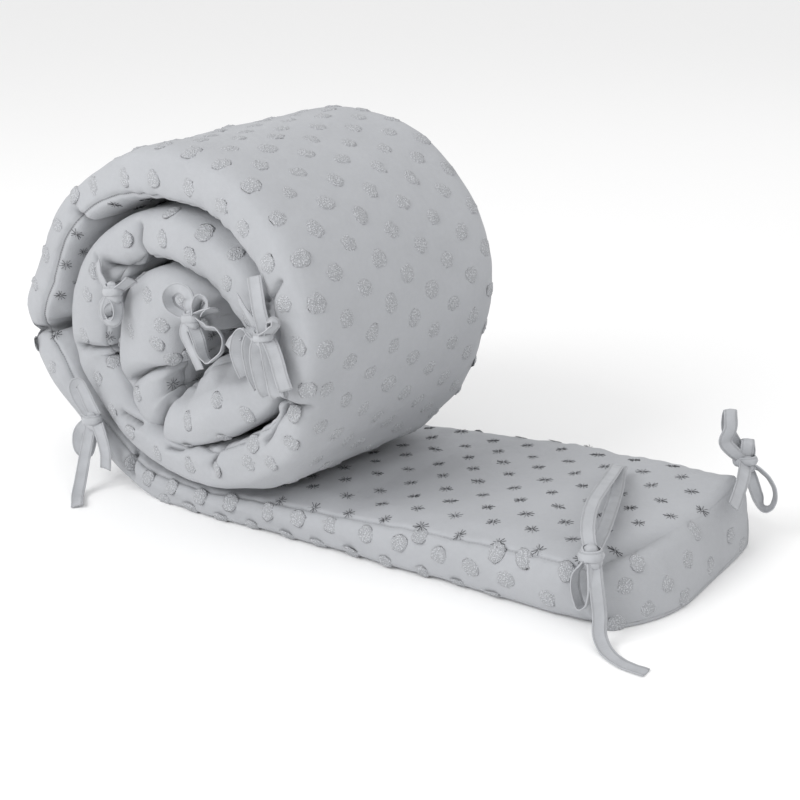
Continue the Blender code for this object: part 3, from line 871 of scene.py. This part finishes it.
# %% One disc and one star
# the disc's rings from its middle out: radius, height and how many corners
DISC_TOP, DISC_RINGS = 1.1, [(3.2, 1.2, 6), (6.2, 1.0, 10), (8.7, 0.4, 13), (10.4, -1.2, 13)]
SPOKES, SPOKE_TURN, SPOKE_SEED = 10, 0.2, 4
STITCH_FROM, STITCH_TO, STITCH_HALF, STITCH_SUNK, STITCH_HIGH = (
    (0.3, 1.6), (5.8, 8.4), 0.27, 0.1, 0.55)


def disc_motif():
    """A low disc of triangles, with fewer corners towards its middle."""
    shape = bmesh.new()
    centre, last = shape.verts.new((0, 0, DISC_TOP * MM)), None
    for radius, high, count in DISC_RINGS:
        ring = [shape.verts.new((radius * math.cos(2 * math.pi * k / count) * MM,
                                 radius * math.sin(2 * math.pi * k / count) * MM, high * MM))
                for k in range(count)]
        if last is None:
            for k in range(count):
                shape.faces.new((centre, ring[k], ring[(k + 1) % count]))
        else:
            i = j = 0
            while i < len(last) or j < count:
                inner = j == count or (i < len(last) and (i + 1) / len(last) <= (j + 1) / count)
                third = last[(i + 1) % len(last)] if inner else ring[(j + 1) % count]
                shape.faces.new((last[i % len(last)], ring[j % count], third))
                i, j = (i + 1, j) if inner else (i, j + 1)
        last = ring
    shape.faces.new(list(reversed(last)))
    return bpy.data.objects.new("dot_motif", as_mesh("dot_motif", shape))


def star_motif():
    """Straight stitches that run out from one point, each a low three-sided bar."""
    dice = np.random.default_rng(SPOKE_SEED)
    shape = bmesh.new()
    sunk, high = Vector((0, 0, -STITCH_SUNK)), Vector((0, 0, STITCH_HIGH))
    for k in range(SPOKES):
        way = 2 * math.pi * (k + dice.uniform(-SPOKE_TURN, SPOKE_TURN)) / SPOKES
        along = Vector((math.cos(way), math.sin(way), 0))
        over = Vector((-math.sin(way), math.cos(way), 0)) * STITCH_HALF
        ends = [[shape.verts.new((along * reach + way_out) * MM)
                 for way_out in (over + sunk, -over + sunk, high)]
                for reach in (dice.uniform(*STITCH_FROM), dice.uniform(*STITCH_TO))]
        (a, b, c), (d, e, f) = ends
        for corners in ((a, b, c), (f, e, d), (a, c, f, d), (c, b, e, f), (b, a, d, e)):
            shape.faces.new(corners)
    bmesh.ops.recalc_face_normals(shape, faces=shape.faces)
    return bpy.data.objects.new("star_motif", as_mesh("star_motif", shape))


# %% The tree that sews a motif on every point
SMALLEST, LARGEST = (0.86, 0.86, 0.9), (1.12, 1.12, 1.1)
INPUTS = {"Points": "Geometry", "Motif": "Object", "Roughen": "Float", "Lump Size": "Float",
          "Seed": "Int", "Finish": "Material"}
NODES = {
    "given": "NodeGroupInput", "motif": "GeometryNodeObjectInfo",
    "facing": "GeometryNodeInputNamedAttribute", "face out": "FunctionNodeAlignRotationToVector",
    "turn": "FunctionNodeRandomValue", "size": "FunctionNodeRandomValue",
    "spin": "FunctionNodeAxisAngleToRotation", "both": "FunctionNodeRotateRotation",
    "put": "GeometryNodeInstanceOnPoints", "real": "GeometryNodeRealizeInstances",
    "per metre": "ShaderNodeMath", "lumps": "ShaderNodeTexNoise",
    "middle": "ShaderNodeVectorMath", "scaled": "ShaderNodeVectorMath",
    "shake": "GeometryNodeSetPosition", "finish": "GeometryNodeSetMaterial",
    "sewn": "NodeGroupOutput"}
CHOICES = [("facing", "data_type", "FLOAT_VECTOR"), ("size", "data_type", "FLOAT_VECTOR"),
           ("face out", "axis", "Z"), ("both", "rotation_space", "LOCAL"),
           ("per metre", "operation", "DIVIDE"), ("middle", "operation", "SUBTRACT"),
           ("scaled", "operation", "SCALE")]
NUMBERS = [("facing", "Name", "facing"), ("turn", 3, 2 * math.pi), ("size", 0, SMALLEST),
           ("size", 1, LARGEST), ("per metre", 0, LUMPS_PER_SCALE),
           ("middle", 1, (0.5, 0.5, 0.5))]
# each link: from a node's output to a node's input
LINKS = [("given", "Motif", "motif", "Object"), ("facing", "Attribute", "face out", "Vector"),
         ("given", "Seed", "turn", "Seed"), ("given", "Seed", "size", "Seed"),
         ("turn", 1, "spin", "Angle"), ("face out", "Rotation", "both", "Rotation"),
         ("spin", "Rotation", "both", "Rotate By"), ("given", "Points", "put", "Points"),
         ("motif", "Geometry", "put", "Instance"), ("both", "Rotation", "put", "Rotation"),
         ("size", 0, "put", "Scale"), ("put", "Instances", "real", "Geometry"),
         ("given", "Lump Size", "per metre", 1), ("per metre", 0, "lumps", "Scale"),
         ("lumps", "Color", "middle", 0), ("middle", 0, "scaled", 0),
         ("given", "Roughen", "scaled", "Scale"), ("real", "Geometry", "shake", "Geometry"),
         ("scaled", 0, "shake", "Offset"), ("shake", "Geometry", "finish", "Geometry"),
         ("given", "Finish", "finish", "Material"), ("finish", "Geometry", "sewn", 0)]


def sewing_tree():
    """Puts the motif on every point, facing out, turned and sized at random, makes it
    real, roughens it by noise and gives it its finish."""
    tree = bpy.data.node_groups.new("sew_motifs", "GeometryNodeTree")
    ids = {name: tree.interface.new_socket(
        name, in_out="INPUT", socket_type="NodeSocket" + kind).identifier
        for name, kind in INPUTS.items()}
    tree.interface.new_socket("Sewn", in_out="OUTPUT", socket_type="NodeSocketGeometry")
    nodes = {name: tree.nodes.new(kind) for name, kind in NODES.items()}
    for name, setting, choice in CHOICES:
        setattr(nodes[name], setting, choice)
    for name, socket, value in NUMBERS:
        nodes[name].inputs[socket].default_value = value
    for start_node, output, end_node, socket in LINKS:
        tree.links.new(nodes[start_node].outputs[output], nodes[end_node].inputs[socket])
    return tree, ids


sewing, socket_of = sewing_tree()
print("sewing tree with", len(sewing.nodes), "nodes")


# %% Sew one kind of motif
def sew(name, spots, facings, motif, finish, seed, roughen=0.0, lump=4.0):
    """One plain mesh with the motif on every spot; roughen and lump are in millimetres."""
    carrier = bpy.data.meshes.new(name + "_points")
    carrier.from_pydata([tuple(p) for p in placed(spots)], [], [])
    facing = carrier.attributes.new("facing", "FLOAT_VECTOR", "POINT")
    facing.data.foreach_set("vector", np.asarray(facings, float).ravel())
    holder = in_scene(name + "_points", carrier)
    step = holder.modifiers.new("sew", "NODES")
    step.node_group = sewing
    for key, value in (("Motif", motif), ("Roughen", roughen * MM), ("Lump Size", lump * MM),
                       ("Seed", seed), ("Finish", finish)):
        step[socket_of[key]] = value
    bpy.context.view_layer.update()
    seen = bpy.context.evaluated_depsgraph_get()
    mesh = bpy.data.meshes.new_from_object(holder.evaluated_get(seen), depsgraph=seen)
    bpy.data.objects.remove(holder, do_unlink=True)
    for v in mesh.vertices:                      # what meets the floor lies flat on it
        v.co.z = max(v.co.z, 0.0)
    mesh.shade_smooth()
    mesh.name = name
    print(name, len(mesh.polygons), "faces")
    return in_scene(name, mesh)


# %% [markdown]
# ## The finishes
# The cloth is a fine plain cotton in a cool light grey, with hardly any sheen, and a
# dark line of painted shade runs along its folds. The dots are the same yarn in cut
# loops, with a painted highlight on the loop tops and painted shade between them. The
# stars are sewn in a darker thread, and the ribbons are cut from the same cotton, with a
# line of stitching along both edges.

# %% Plain cotton for the strip
GREY = (0.415, 0.425, 0.446)
COTTON_ROUGH, COTTON_SHEEN = 0.93, 0.12
CLOUD, FLECK, RUMPLE, THREADS = 0.07, 0.0035, 0.011, 380.0
STITCH_LONG, SEAM_HALF, SEAM_FADE, COTTON_BUMP = 0.0034, 0.0003, 0.0015, 0.0011
# where along the strip the seam's stitches show most, in metres
STITCHES_FROM, STITCHES_TO = (0.70, 0.76), (1.12, 1.18)


def grey(tone):
    return [c * tone for c in GREY]


def cotton(name, tone):
    """Woven cotton, with stitches along the seam and a dark line of painted shade in each fold.
    """
    f = Finish(name, COTTON_ROUGH, COTTON_SHEEN)
    at = f.place()
    cloud, fleck, rumple = f.noise(at, CLOUD, 3.0), f.noise(at, FLECK), f.noise(at, RUMPLE, 3.0)
    color = f.mix(f.stepped(cloud * 0.7 + fleck * 0.3, 0.25, 0.75),
                  grey(tone * 0.955), grey(tone * 1.045))
    weave_at = f.node("ShaderNodeTexCoord", output="UV")
    warp, weft = (f.node("ShaderNodeTexWave", {"bands_direction": way}, {
        "Vector": weave_at, "Scale": THREADS, "Distortion": 1.2, "Detail": 1.0,
        "Detail Scale": 2.0}, "Fac") for way in "XY")
    raised = (warp * weft) * 0.16 + rumple * 0.84
    along = f.node("ShaderNodeSeparateXYZ", {}, {0: weave_at})
    stitch = f.sine(along * (2 * math.pi / STITCH_LONG))
    seam = 1 - f.stepped(abs(f.attribute("seam_side")), SEAM_HALF, SEAM_FADE)
    shown = 0.25 + 0.75 * (f.stepped(along, *STITCHES_FROM)
                           * (1 - f.stepped(along, *STITCHES_TO)))
    color = f.mix(seam * shown * (0.55 + 0.25 * stitch), color, grey(tone * 0.28))
    # painted shade: the colour darkens along each crease and in the dip inside the flat end's
    # seam
    color = f.mix(f.attribute("fold_line") * 0.55, color, grey(tone * 0.42))
    return f.done(color, f.bumps(raised - seam * 0.5, COTTON_BUMP))


outer_cotton = cotton("outer_cotton", 1.0)
inner_cotton = cotton("inner_cotton", 1.03)
print("cotton ready")


# %% Cut loops, dark thread
LOOPS_PER_METRE, TANGLE, LOOP_BUMP = 520.0, 0.0016, 0.0014
STRAND, THREAD_BUMP = 0.0012, 0.0006
THREAD_DARK, THREAD_LIGHT = (0.06, 0.062, 0.067), (0.14, 0.144, 0.152)


def loops_finish():
    """Curls of yarn, with a painted highlight on top and painted shade between."""
    f = Finish("cut_loops", 0.95, sheen=0.2)
    at = f.place()
    curls = f.node("ShaderNodeTexVoronoi", {"feature": "F1"},
                   {"Vector": at, "Scale": LOOPS_PER_METRE, "Randomness": 1.0}, "Distance")
    height = (1 - f.stepped(curls, 0.15, 0.75)) * 0.6 + f.noise(at, TANGLE, 3.0) * 0.4
    # painted highlight on the raised loops and painted shade in the hollows between them, both
    # following the loops' height
    color = f.mix(f.stepped(height, 0.2, 0.8), grey(0.84), grey(1.26))
    return f.done(color, f.bumps(height, LOOP_BUMP))


def thread_finish():
    f = Finish("dark_thread", 0.85)
    strands = f.noise(f.place(), STRAND)
    color = f.mix(f.stepped(strands, 0.35, 0.65), THREAD_DARK, THREAD_LIGHT)
    return f.done(color, f.bumps(strands, THREAD_BUMP))


cut_loops, dark_thread = loops_finish(), thread_finish()
mesh.materials.append(outer_cotton)
mesh.materials.append(inner_cotton)

# %% Sew the dots on
DOT_SEED, DOT_ROUGHEN, DOT_LUMP = 11, 5.0, 2.8
dots = sew("fluffy_dots", spots, facings, disc_motif(), cut_loops, DOT_SEED, DOT_ROUGHEN,
           DOT_LUMP)

# %% [markdown]
# ## The stars
# On the flat end the star lattice runs along the strip's own near edge, so it is laid
# out flat and dropped straight down on the cloth. Inside the roll it follows the
# cloth's coordinates, near the edge where it can be seen.

# %% Stars on the flat end and inside the turns
STAR_SEED, STAR_STEP = 5, 44.0
STAR_AT, STAR_WAY = np.array([357.2, 72.4]), math.atan2(0.199, 0.980)
# how high above the flat end the drop starts, from its outer end into the roll
DROP_X, DROP_Z = [-470, -333, -200, -90, 20, 110], [86, 82, 66, 54, 44, 46]
DROP_FAR, INTO_ROLL, LEAST_UP, STAR_ROOM = 0.045, -120, 0.5, 3
INNER_STARS, INNER_ROWS = (700, 2760, 41.0), (47, 78)
starred_face = np.zeros(len(mesh.polygons), int)
mesh.polygons.foreach_get("material_index", starred_face)
star_spots, star_facings = [], []
for j in range(-3, 11):
    for k in range(-16, 6):
        along, over = (k - j / 2) * STAR_STEP, j * ROW_GAP
        x = STAR_AT[0] + along * math.cos(STAR_WAY) - over * math.sin(STAR_WAY)
        y = STAR_AT[1] + along * math.sin(STAR_WAY) + over * math.cos(STAR_WAY)
        top = np.interp(-x, DROP_X, DROP_Z)
        at, facing, face, _ = pad_tree.ray_cast(
            Vector(placed((x, y, top))), Vector((0, 0, -1)), DROP_FAR)
        if at is None or x < INTO_ROLL or facing.z < LEAST_UP or not starred_face[face]:
            continue
        star_spots.append(unplaced(at))
        star_facings.append(np.array(facing))
SEEN_STARS = [(772, 6), (847, 4), (892, 1), (942, -1), (1028, 2), (912, 17), (867, 22),
              (1053, 26), (1920, 3), (2572, 14)]
first, last, step = INNER_STARS
for s, away in SEEN_STARS + [(s, away) for away in INNER_ROWS for s in np.arange(
        first + away % 31, last, step)]:
    found = on_cloth(inner_cols if away > 0 else outer_cols, s, abs(away))
    if found is not None and free_room(*found) > STAR_ROOM:
        star_spots.append(found[0])
        star_facings.append(found[1])
stars = sew("stitched_stars", star_spots, star_facings, star_motif(), dark_thread, STAR_SEED)

# %% [markdown]
# ## The ribbons
# Each tie is two ribbons knotted together. A ribbon keeps its width and bends freely
# across its face, so it is swept along a path. The way that its width points is one way
# for the whole path, or an angle for each of its points. The knot is a gathered lump
# with two bands wrapped round it.

# %% The ties' paths, in millimetres
Tie = namedtuple("Tie", "name knot wide deep high strips")
ALONG, ACROSS, SLANT = (1, 0, 0), (0, 1, 0), (0.7, 0.7, 0)
UPRIGHT = (0.739, 0.674, 0)
TIES = [
    Tie("tie_flat_near", (448, 42, 80), 22, 18, 18, [
        (ALONG, [(443, 55, 80), (429, 89, 81), (412, 124, 79), (396, 156, 78), (379, 189, 78),
                 (359, 223, 78), (351, 238, 78)]),
        (ALONG, [(348, 236, 80), (367, 197, 89), (389, 147, 98), (409, 100, 103), (424, 71, 101),
                 (436, 53, 95), (445, 45, 86)]),
        (ACROSS, [(446, 37, 76), (439, 32, 62), (441, 31, 43), (448, 31, 30), (456, 31, 36),
                  (458, 32, 55), (452, 37, 76)]),
        (SLANT, [(452, 41, 79), (464, 31, 55), (470, 29, 31), (474, 25, 13), (486, 19, 4),
                 (508, 13, 2.2), (532, 15, 2.2)])]),
    Tie("tie_flat_far", (455, 317, 90), 23, 17, 15, [
        (UPRIGHT, [(455, 314, 93), (447, 304, 103), (440, 298, 114), (444, 299, 131),
                   (442, 300, 145), (439, 304, 148), (435, 309, 139), (436, 311, 121),
                   (446, 315, 104), (454, 317, 92)]),
        (UPRIGHT, [(456, 316, 92), (458, 313, 106), (458, 314, 114), (455, 318, 114),
                   (453, 323, 109), (455, 324, 98), (456, 319, 91)]),
        ([10, 0, 0, 0, 0, 0], [(458, 312, 90), (465, 299, 91), (472, 283, 84),
                               (479, 264, 80), (487, 243, 78), (490, 234, 77)]),
        ([70, 85, 88, 90, 85, 60, 15, 10, 20], [
            (461, 318, 87), (471, 323, 82), (482, 329, 69), (487, 331, 54), (484, 329, 40),
            (479, 326, 38), (473, 319, 53), (466, 317, 70), (459, 317, 83)])]),
    Tie("tie_left_low", (-169, -77, 85), 25, 15, 17, [
        ([5, 5, 8, 12, 20, 15, 8, 5], [
            (-165, -78, 89), (-178, -80, 100), (-187, -82, 113), (-190, -82, 124),
            (-187, -79, 128), (-181, -77, 119), (-173, -76, 105), (-162, -76, 91)]),
        ([10, 8, 5, 8, 12, 10, 8], [
            (-177, -79, 80), (-187, -82, 70), (-192, -83, 57), (-190, -83, 45),
            (-184, -79, 40), (-178, -77, 52), (-172, -77, 75)]),
        ([8, 8, 5, 0, -10, -15], [(-166, -80, 84), (-169, -86, 60), (-171, -92, 36),
                                 (-168, -101, 15), (-159, -112, 5), (-138, -128, 4)]),
        ([10, 15, 15, 20], [(-156, -79, 84), (-147, -81, 71), (-142, -81, 53),
                            (-146, -80, 31)])]),
    Tie("tie_left_high", (-114, -73, 250), 24, 14, 18, [
        ([60, 60, 50], [(-147, -67, 277), (-137, -72, 263), (-123, -73, 250)]),
        ([65, 60, 50], [(-107, -72, 252), (-91, -73, 262), (-79, -72, 270)]),
        ([25, 40, 50, 55, 60, 60, 55, 40, 25], [
            (-112, -75, 246), (-121, -79, 240), (-126, -81, 231), (-124, -81, 221),
            (-115, -80, 216), (-105, -79, 219), (-101, -77, 228), (-104, -75, 239),
            (-111, -74, 246)]),
        ([15, 5, -5, -10], [(-111, -77, 246), (-114, -80, 237), (-117, -80, 228),
                            (-117, -78, 221)])]),
    Tie("tie_centre", (17, -71, 247), 20, 14, 16, [
        ([45, 40, 35, 30, 30, 30, 30, 35, 40, 40], [
            (14, -72, 250), (1, -75, 252), (-8, -77, 257), (-10, -78, 266), (-3, -78, 274),
            (9, -78, 279), (18, -77, 277), (22, -76, 270), (19, -75, 261), (19, -72, 252)]),
        ([60, 60, 60, 60, 60], [(26, -71, 255), (30, -73, 266), (39, -74, 274),
                                (44, -73, 270), (34, -71, 258)]),
        ([60, 65, 70], [(27, -71, 252), (42, -71, 259), (54, -69, 264)]),
        ([40, 45, 50, 50, 50], [(11, -72, 242), (6, -73, 230), (14, -73, 216),
                                (22, -73, 205), (27, -71, 193)]),
        ([70, 82, 86, 90, 90, 88, 70, 35, 15, 20], [
            (29, -72, 246), (47, -73, 244), (61, -73, 244), (68, -73, 237), (66, -73, 225),
            (56, -73, 214), (43, -73, 207), (36, -74, 215), (33, -75, 227),
            (22, -73, 242)])]),
    Tie("tie_right", (137, -81, 255), 24, 14, 14, [
        ([10, 8, 8, 8], [(121, -74, 313), (128, -78, 299), (135, -81, 281), (143, -82, 262)]),
        ([72, 66, 50], [(95, -74, 286), (112, -79, 276), (130, -81, 261)]),
        (UPRIGHT, [(135, -82, 256), (122, -86, 261), (112, -88, 253), (108, -89, 238),
                   (111, -88, 225), (117, -86, 212)]),
        (UPRIGHT, [(137, -82, 255), (129, -85, 257), (123, -86, 245), (123, -85, 229),
                   (127, -84, 213), (133, -82, 203)]),
        (UPRIGHT, [(139, -83, 256), (138, -88, 249), (137, -89, 235), (141, -89, 219),
                   (147, -88, 204), (149, -83, 199), (147, -80, 214), (141, -79, 241)]),
        (UPRIGHT, [(143, -83, 257), (148, -85, 250), (151, -85, 235), (155, -85, 218),
                   (161, -85, 202), (162, -81, 200), (157, -78, 216), (147, -79, 245)]),
        (UPRIGHT, [(146, -81, 256), (155, -84, 250), (161, -84, 237), (166, -84, 223),
                   (171, -83, 209)]),
        ([60, 65, 65, 65, 60], [(144, -84, 259), (157, -86, 269), (163, -85, 276),
                                (155, -84, 277), (143, -83, 265)]),
        ([50, 40, 30], [(111, -83, 255), (97, -83, 244), (90, -83, 233)])]),
]
print(sum(len(tie.strips) for tie in TIES), "lengths of ribbon in", len(TIES), "ties")

# %% Sweep a ribbon
RIBBON_WIDE, RIBBON_THICK, RIBBON_STEP, FLOOR_GAP = 14.5, 1.4, 2.5, 0.7
RIBBON_CROWN, RIPPLE, RIPPLES = 1.1, 0.45, (10, 28)
TO_ROOM = np.array([0.629, -0.690, 0.359])      # the way that a tie faces the room
# the ribbon's section: shares of its half width and of its half thickness
RIBBON_EDGE = [(-1, 0), (-0.96, 1), (-0.6, 1.05), (0, 1.05), (0.6, 1.05), (0.96, 1), (1, 0),
               (0.96, -1), (0.6, -1.05), (0, -1.05), (-0.6, -1.05), (-0.96, -1)]


def width_ways(way, keys, path, ahead):
    """The way of the ribbon's width along its path: one fixed way, or for each key the
    angle that the ribbon is turned from facing the room."""
    if not isinstance(way, list):
        return [np.array(way, float)] * len(path)
    key_at, along = lengths_along(np.array(keys, float)), lengths_along(path)
    turns = np.radians(np.interp(along / along[-1], key_at / key_at[-1], way))
    return [math.cos(t) * np.cross(TO_ROOM, step) + math.sin(t) * TO_ROOM
            for t, step in zip(turns, ahead)]


def swept(shape, uv, path, ahead, wide_at, width, crown, seed, closed=False):
    """Sweeps the ribbon's rounded section; wide_at gives its width's way per point. It
    returns the length of ribbon that it takes."""
    along = lengths_along(path)
    across_mm = np.array([a for a, _ in RIBBON_EDGE]) * width / 2
    ripple = RIPPLE * waves(*np.broadcast_arrays(along[:, None], across_mm[None, :]),
                            *RIPPLES, seed=seed)
    loops = []
    for p, step, wide, wave in zip(path, ahead, wide_at, ripple):
        across = wide - step * (wide @ step)
        across /= np.linalg.norm(across)
        face = np.cross(across, step)
        ring = [p + across * a * width / 2
                + face * (b * RIBBON_THICK / 2 + crown * (1 - a * a) + lift)
                for (a, b), lift in zip(RIBBON_EDGE, wave)]
        loops.append([shape.verts.new(placed((x, y, max(z, FLOOR_GAP)))) for x, y, z in ring])
    pairs = list(zip(range(len(loops)), range(1, len(loops)))) + (
        [(len(loops) - 1, 0)] if closed else [])
    count = len(RIBBON_EDGE)
    for i, j in pairs:
        for k in range(count):
            n = (k + 1) % count
            face = shape.faces.new((loops[i][k], loops[i][n], loops[j][n], loops[j][k]))
            for loop, (row, c) in zip(face.loops, ((i, k), (i, n), (j, n), (j, k))):
                loop[uv].uv = (along[row] * MM, RIBBON_EDGE[c][0] * 0.5 + 0.5)
    if not closed:
        for loop in (loops[0], loops[-1]):
            face = shape.faces.new(loop)
            for corner, (a, _) in zip(face.loops, RIBBON_EDGE):
                corner[uv].uv = (0.0, a * 0.5 + 0.5)
    return along[-1]


# %% Gather the knot
LUMP_ROWS, LUMP_COUNT, LUMP_FOLD, LUMP_TIPS = 9, 20, 0.10, (0.12, 0.88)
LUMP_SHARE = (0.82, 0.82, 1.35)
WRAP_COUNT, WRAP_REACH, WRAP_WIDE, WRAP_SEED, FIRST_SEED = 32, 0.45, 0.72, 3, 7
# the two wraps: tilt, drop, how much wider, and how plump
WRAPS = [(0.20, 1.0, 1.0, 2.6), (-0.34, -1.5, 0.88, 2.2)]


def plain_face(shape, uv, corners):
    """A face in the middle of the ribbon, clear of its stitching."""
    for loop in shape.faces.new(corners).loops:
        loop[uv].uv = (0.0, 0.5)


def gathered_lump(shape, uv, centre, size):
    """The ribbon that is caught inside the wraps: a closed, folded lump."""
    turn = np.linspace(0, 2 * math.pi, LUMP_COUNT, endpoint=False)
    rings = []
    for tip in np.linspace(*LUMP_TIPS, LUMP_ROWS) * math.pi:
        fold = 1 + LUMP_FOLD * np.sin(5 * turn + 3 * tip)
        points = np.array(centre) + np.column_stack([
            np.cos(turn) * fold * math.sin(tip) * size[0] / 2,
            np.sin(turn) * fold * math.sin(tip) * size[1] / 2,
            np.full(LUMP_COUNT, math.cos(tip) * size[2] / 2)])
        rings.append([shape.verts.new(p) for p in placed(points)])
    for low, high in zip(rings, rings[1:]):
        for k in range(LUMP_COUNT):
            n = (k + 1) % LUMP_COUNT
            plain_face(shape, uv, (low[k], low[n], high[n], high[k]))
    for ring in (rings[0], rings[-1]):
        plain_face(shape, uv, ring)


# %% Make a tie
def make_tie(tie):
    """A tie's mesh, and the length of ribbon in it in millimetres."""
    shape = bmesh.new()
    uv = shape.loops.layers.uv.new("cloth")
    cut = 0.0
    for number, (way, keys) in enumerate(tie.strips):
        path = evenly(smooth_curve(keys), RIBBON_STEP)
        ahead = headings(path)
        cut += swept(shape, uv, path, ahead, width_ways(way, keys, path, ahead),
                     RIBBON_WIDE, RIBBON_CROWN, number + FIRST_SEED)
    gathered_lump(shape, uv, tie.knot, np.array([tie.wide, tie.deep, tie.high]) * LUMP_SHARE)
    turn = np.linspace(0, 2 * math.pi, WRAP_COUNT, endpoint=False)
    for tilt, drop, grow, plump in WRAPS:
        band = np.array(tie.knot, float) + np.column_stack([
            np.cos(turn) * tie.wide * WRAP_REACH * grow,
            np.sin(turn) * tie.deep * WRAP_REACH * grow,
            np.cos(turn) * tie.wide * 0.5 * tilt + drop])
        ahead = np.roll(band, -1, axis=0) - np.roll(band, 1, axis=0)
        ahead /= np.linalg.norm(ahead, axis=1)[:, None]
        cut += swept(shape, uv, band, ahead, [np.array((0, 0, 1.0))] * len(band),
                     tie.high * WRAP_WIDE, -plump, WRAP_SEED, closed=True)
    bmesh.ops.recalc_face_normals(shape, faces=shape.faces)
    mesh = as_mesh(tie.name + "_ribbons", shape)
    mesh.shade_smooth()
    return in_scene(tie.name + "_ribbons", mesh), cut


# %% Ribbon cotton with its two lines of stitching
STITCH_IN, STITCH_GROOVE, RIBBON_THREADS = 0.13, (0.02, 0.06), 2600.0
RIBBON_CLOUD, RIBBON_BUMP = 0.012, 0.0010


def ribbon_finish():
    f = Finish("ribbon_cotton", 0.9, COTTON_SHEEN)
    uv = f.node("ShaderNodeUVMap", {"uv_map": "cloth"})
    along, over = (f.node("ShaderNodeSeparateXYZ", {}, {0: uv}, k) for k in (0, 1))
    from_edge = 0.5 - abs(over - 0.5)
    groove = 1 - f.stepped(abs(from_edge - STITCH_IN), *STITCH_GROOVE)
    cloud = f.noise(f.place(), RIBBON_CLOUD, 3.0)
    color = f.mix(f.stepped(cloud, 0.3, 0.7), grey(0.93), grey(1.03))
    color = f.mix(groove * 0.30, color, grey(0.55))
    raised = cloud * 0.5 + (1 - groove) * 0.4 + f.sine(along * RIBBON_THREADS) * 0.03
    return f.done(color, f.bumps(raised, RIBBON_BUMP))


ribbon_cotton = ribbon_finish()

# %% Make the six ties
ties = []
for tie in TIES:
    piece, cut = make_tie(tie)
    piece.data.materials.append(ribbon_cotton)
    ties.append((tie, piece, cut))
    print(piece.name, f"{cut:.0f} mm of ribbon")

# %% [markdown]
# ## Floor and light
# The floor is plain white. One broad soft light stands in front of the strip, above and
# to its left, with a weak one at the right and one behind, and a white sky fills the
# shadows.

# %% The floor, the lights and the sky
FLOOR_HALF, FLOOR_WHITE, FLOOR_ROUGH, SKY = 12, (0.98, 0.98, 0.98, 1), 0.9, 0.86
# each light: where it is, its size and its power
LIGHTS = {"key": ((-0.6, -2.4, 2.1), 1.5, 44), "fill": ((2.2, -1.2, 1.6), 1.8, 7),
          "rim": ((0.4, 2.6, 2.4), 2.0, 5)}
white = bpy.data.materials.new("floor_white")
white.use_nodes = True
shader = white.node_tree.nodes["Principled BSDF"]
shader.inputs["Base Color"].default_value = FLOOR_WHITE
shader.inputs["Roughness"].default_value = FLOOR_ROUGH
floor_mesh = bpy.data.meshes.new("floor")
floor_mesh.from_pydata([(x * FLOOR_HALF, y * FLOOR_HALF, 0) for x, y in (
    (-1, -1), (1, -1), (1, 1), (-1, 1))], [], [(0, 1, 2, 3)])
floor_mesh.materials.append(white)
floor = in_scene("floor", floor_mesh)
for name, (at, size, power) in LIGHTS.items():
    lamp = bpy.data.lights.new(name, "AREA")
    lamp.shape, lamp.size, lamp.energy = "SQUARE", size, power
    light = in_scene(name, lamp)
    light.location = at
    light.rotation_euler = (-Vector(at)).to_track_quat("-Z", "Y").to_euler()
world = bpy.data.worlds.new("studio")
bpy.context.scene.world = world
world.use_nodes = True
sky = world.node_tree.nodes["Background"]
sky.inputs["Color"].default_value = (1, 1, 1, 1)
sky.inputs["Strength"].default_value = SKY
bpy.context.scene.view_settings.view_transform = "Standard"

# %% Hang every piece on the root body and hide the imported parts that they replace
for piece in (pad, dots, stars):
    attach(piece, "root")
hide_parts("bumper_pad")
for tie, piece, cut in ties:
    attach(piece, "root")
    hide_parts(tie.name)
    cut * MM
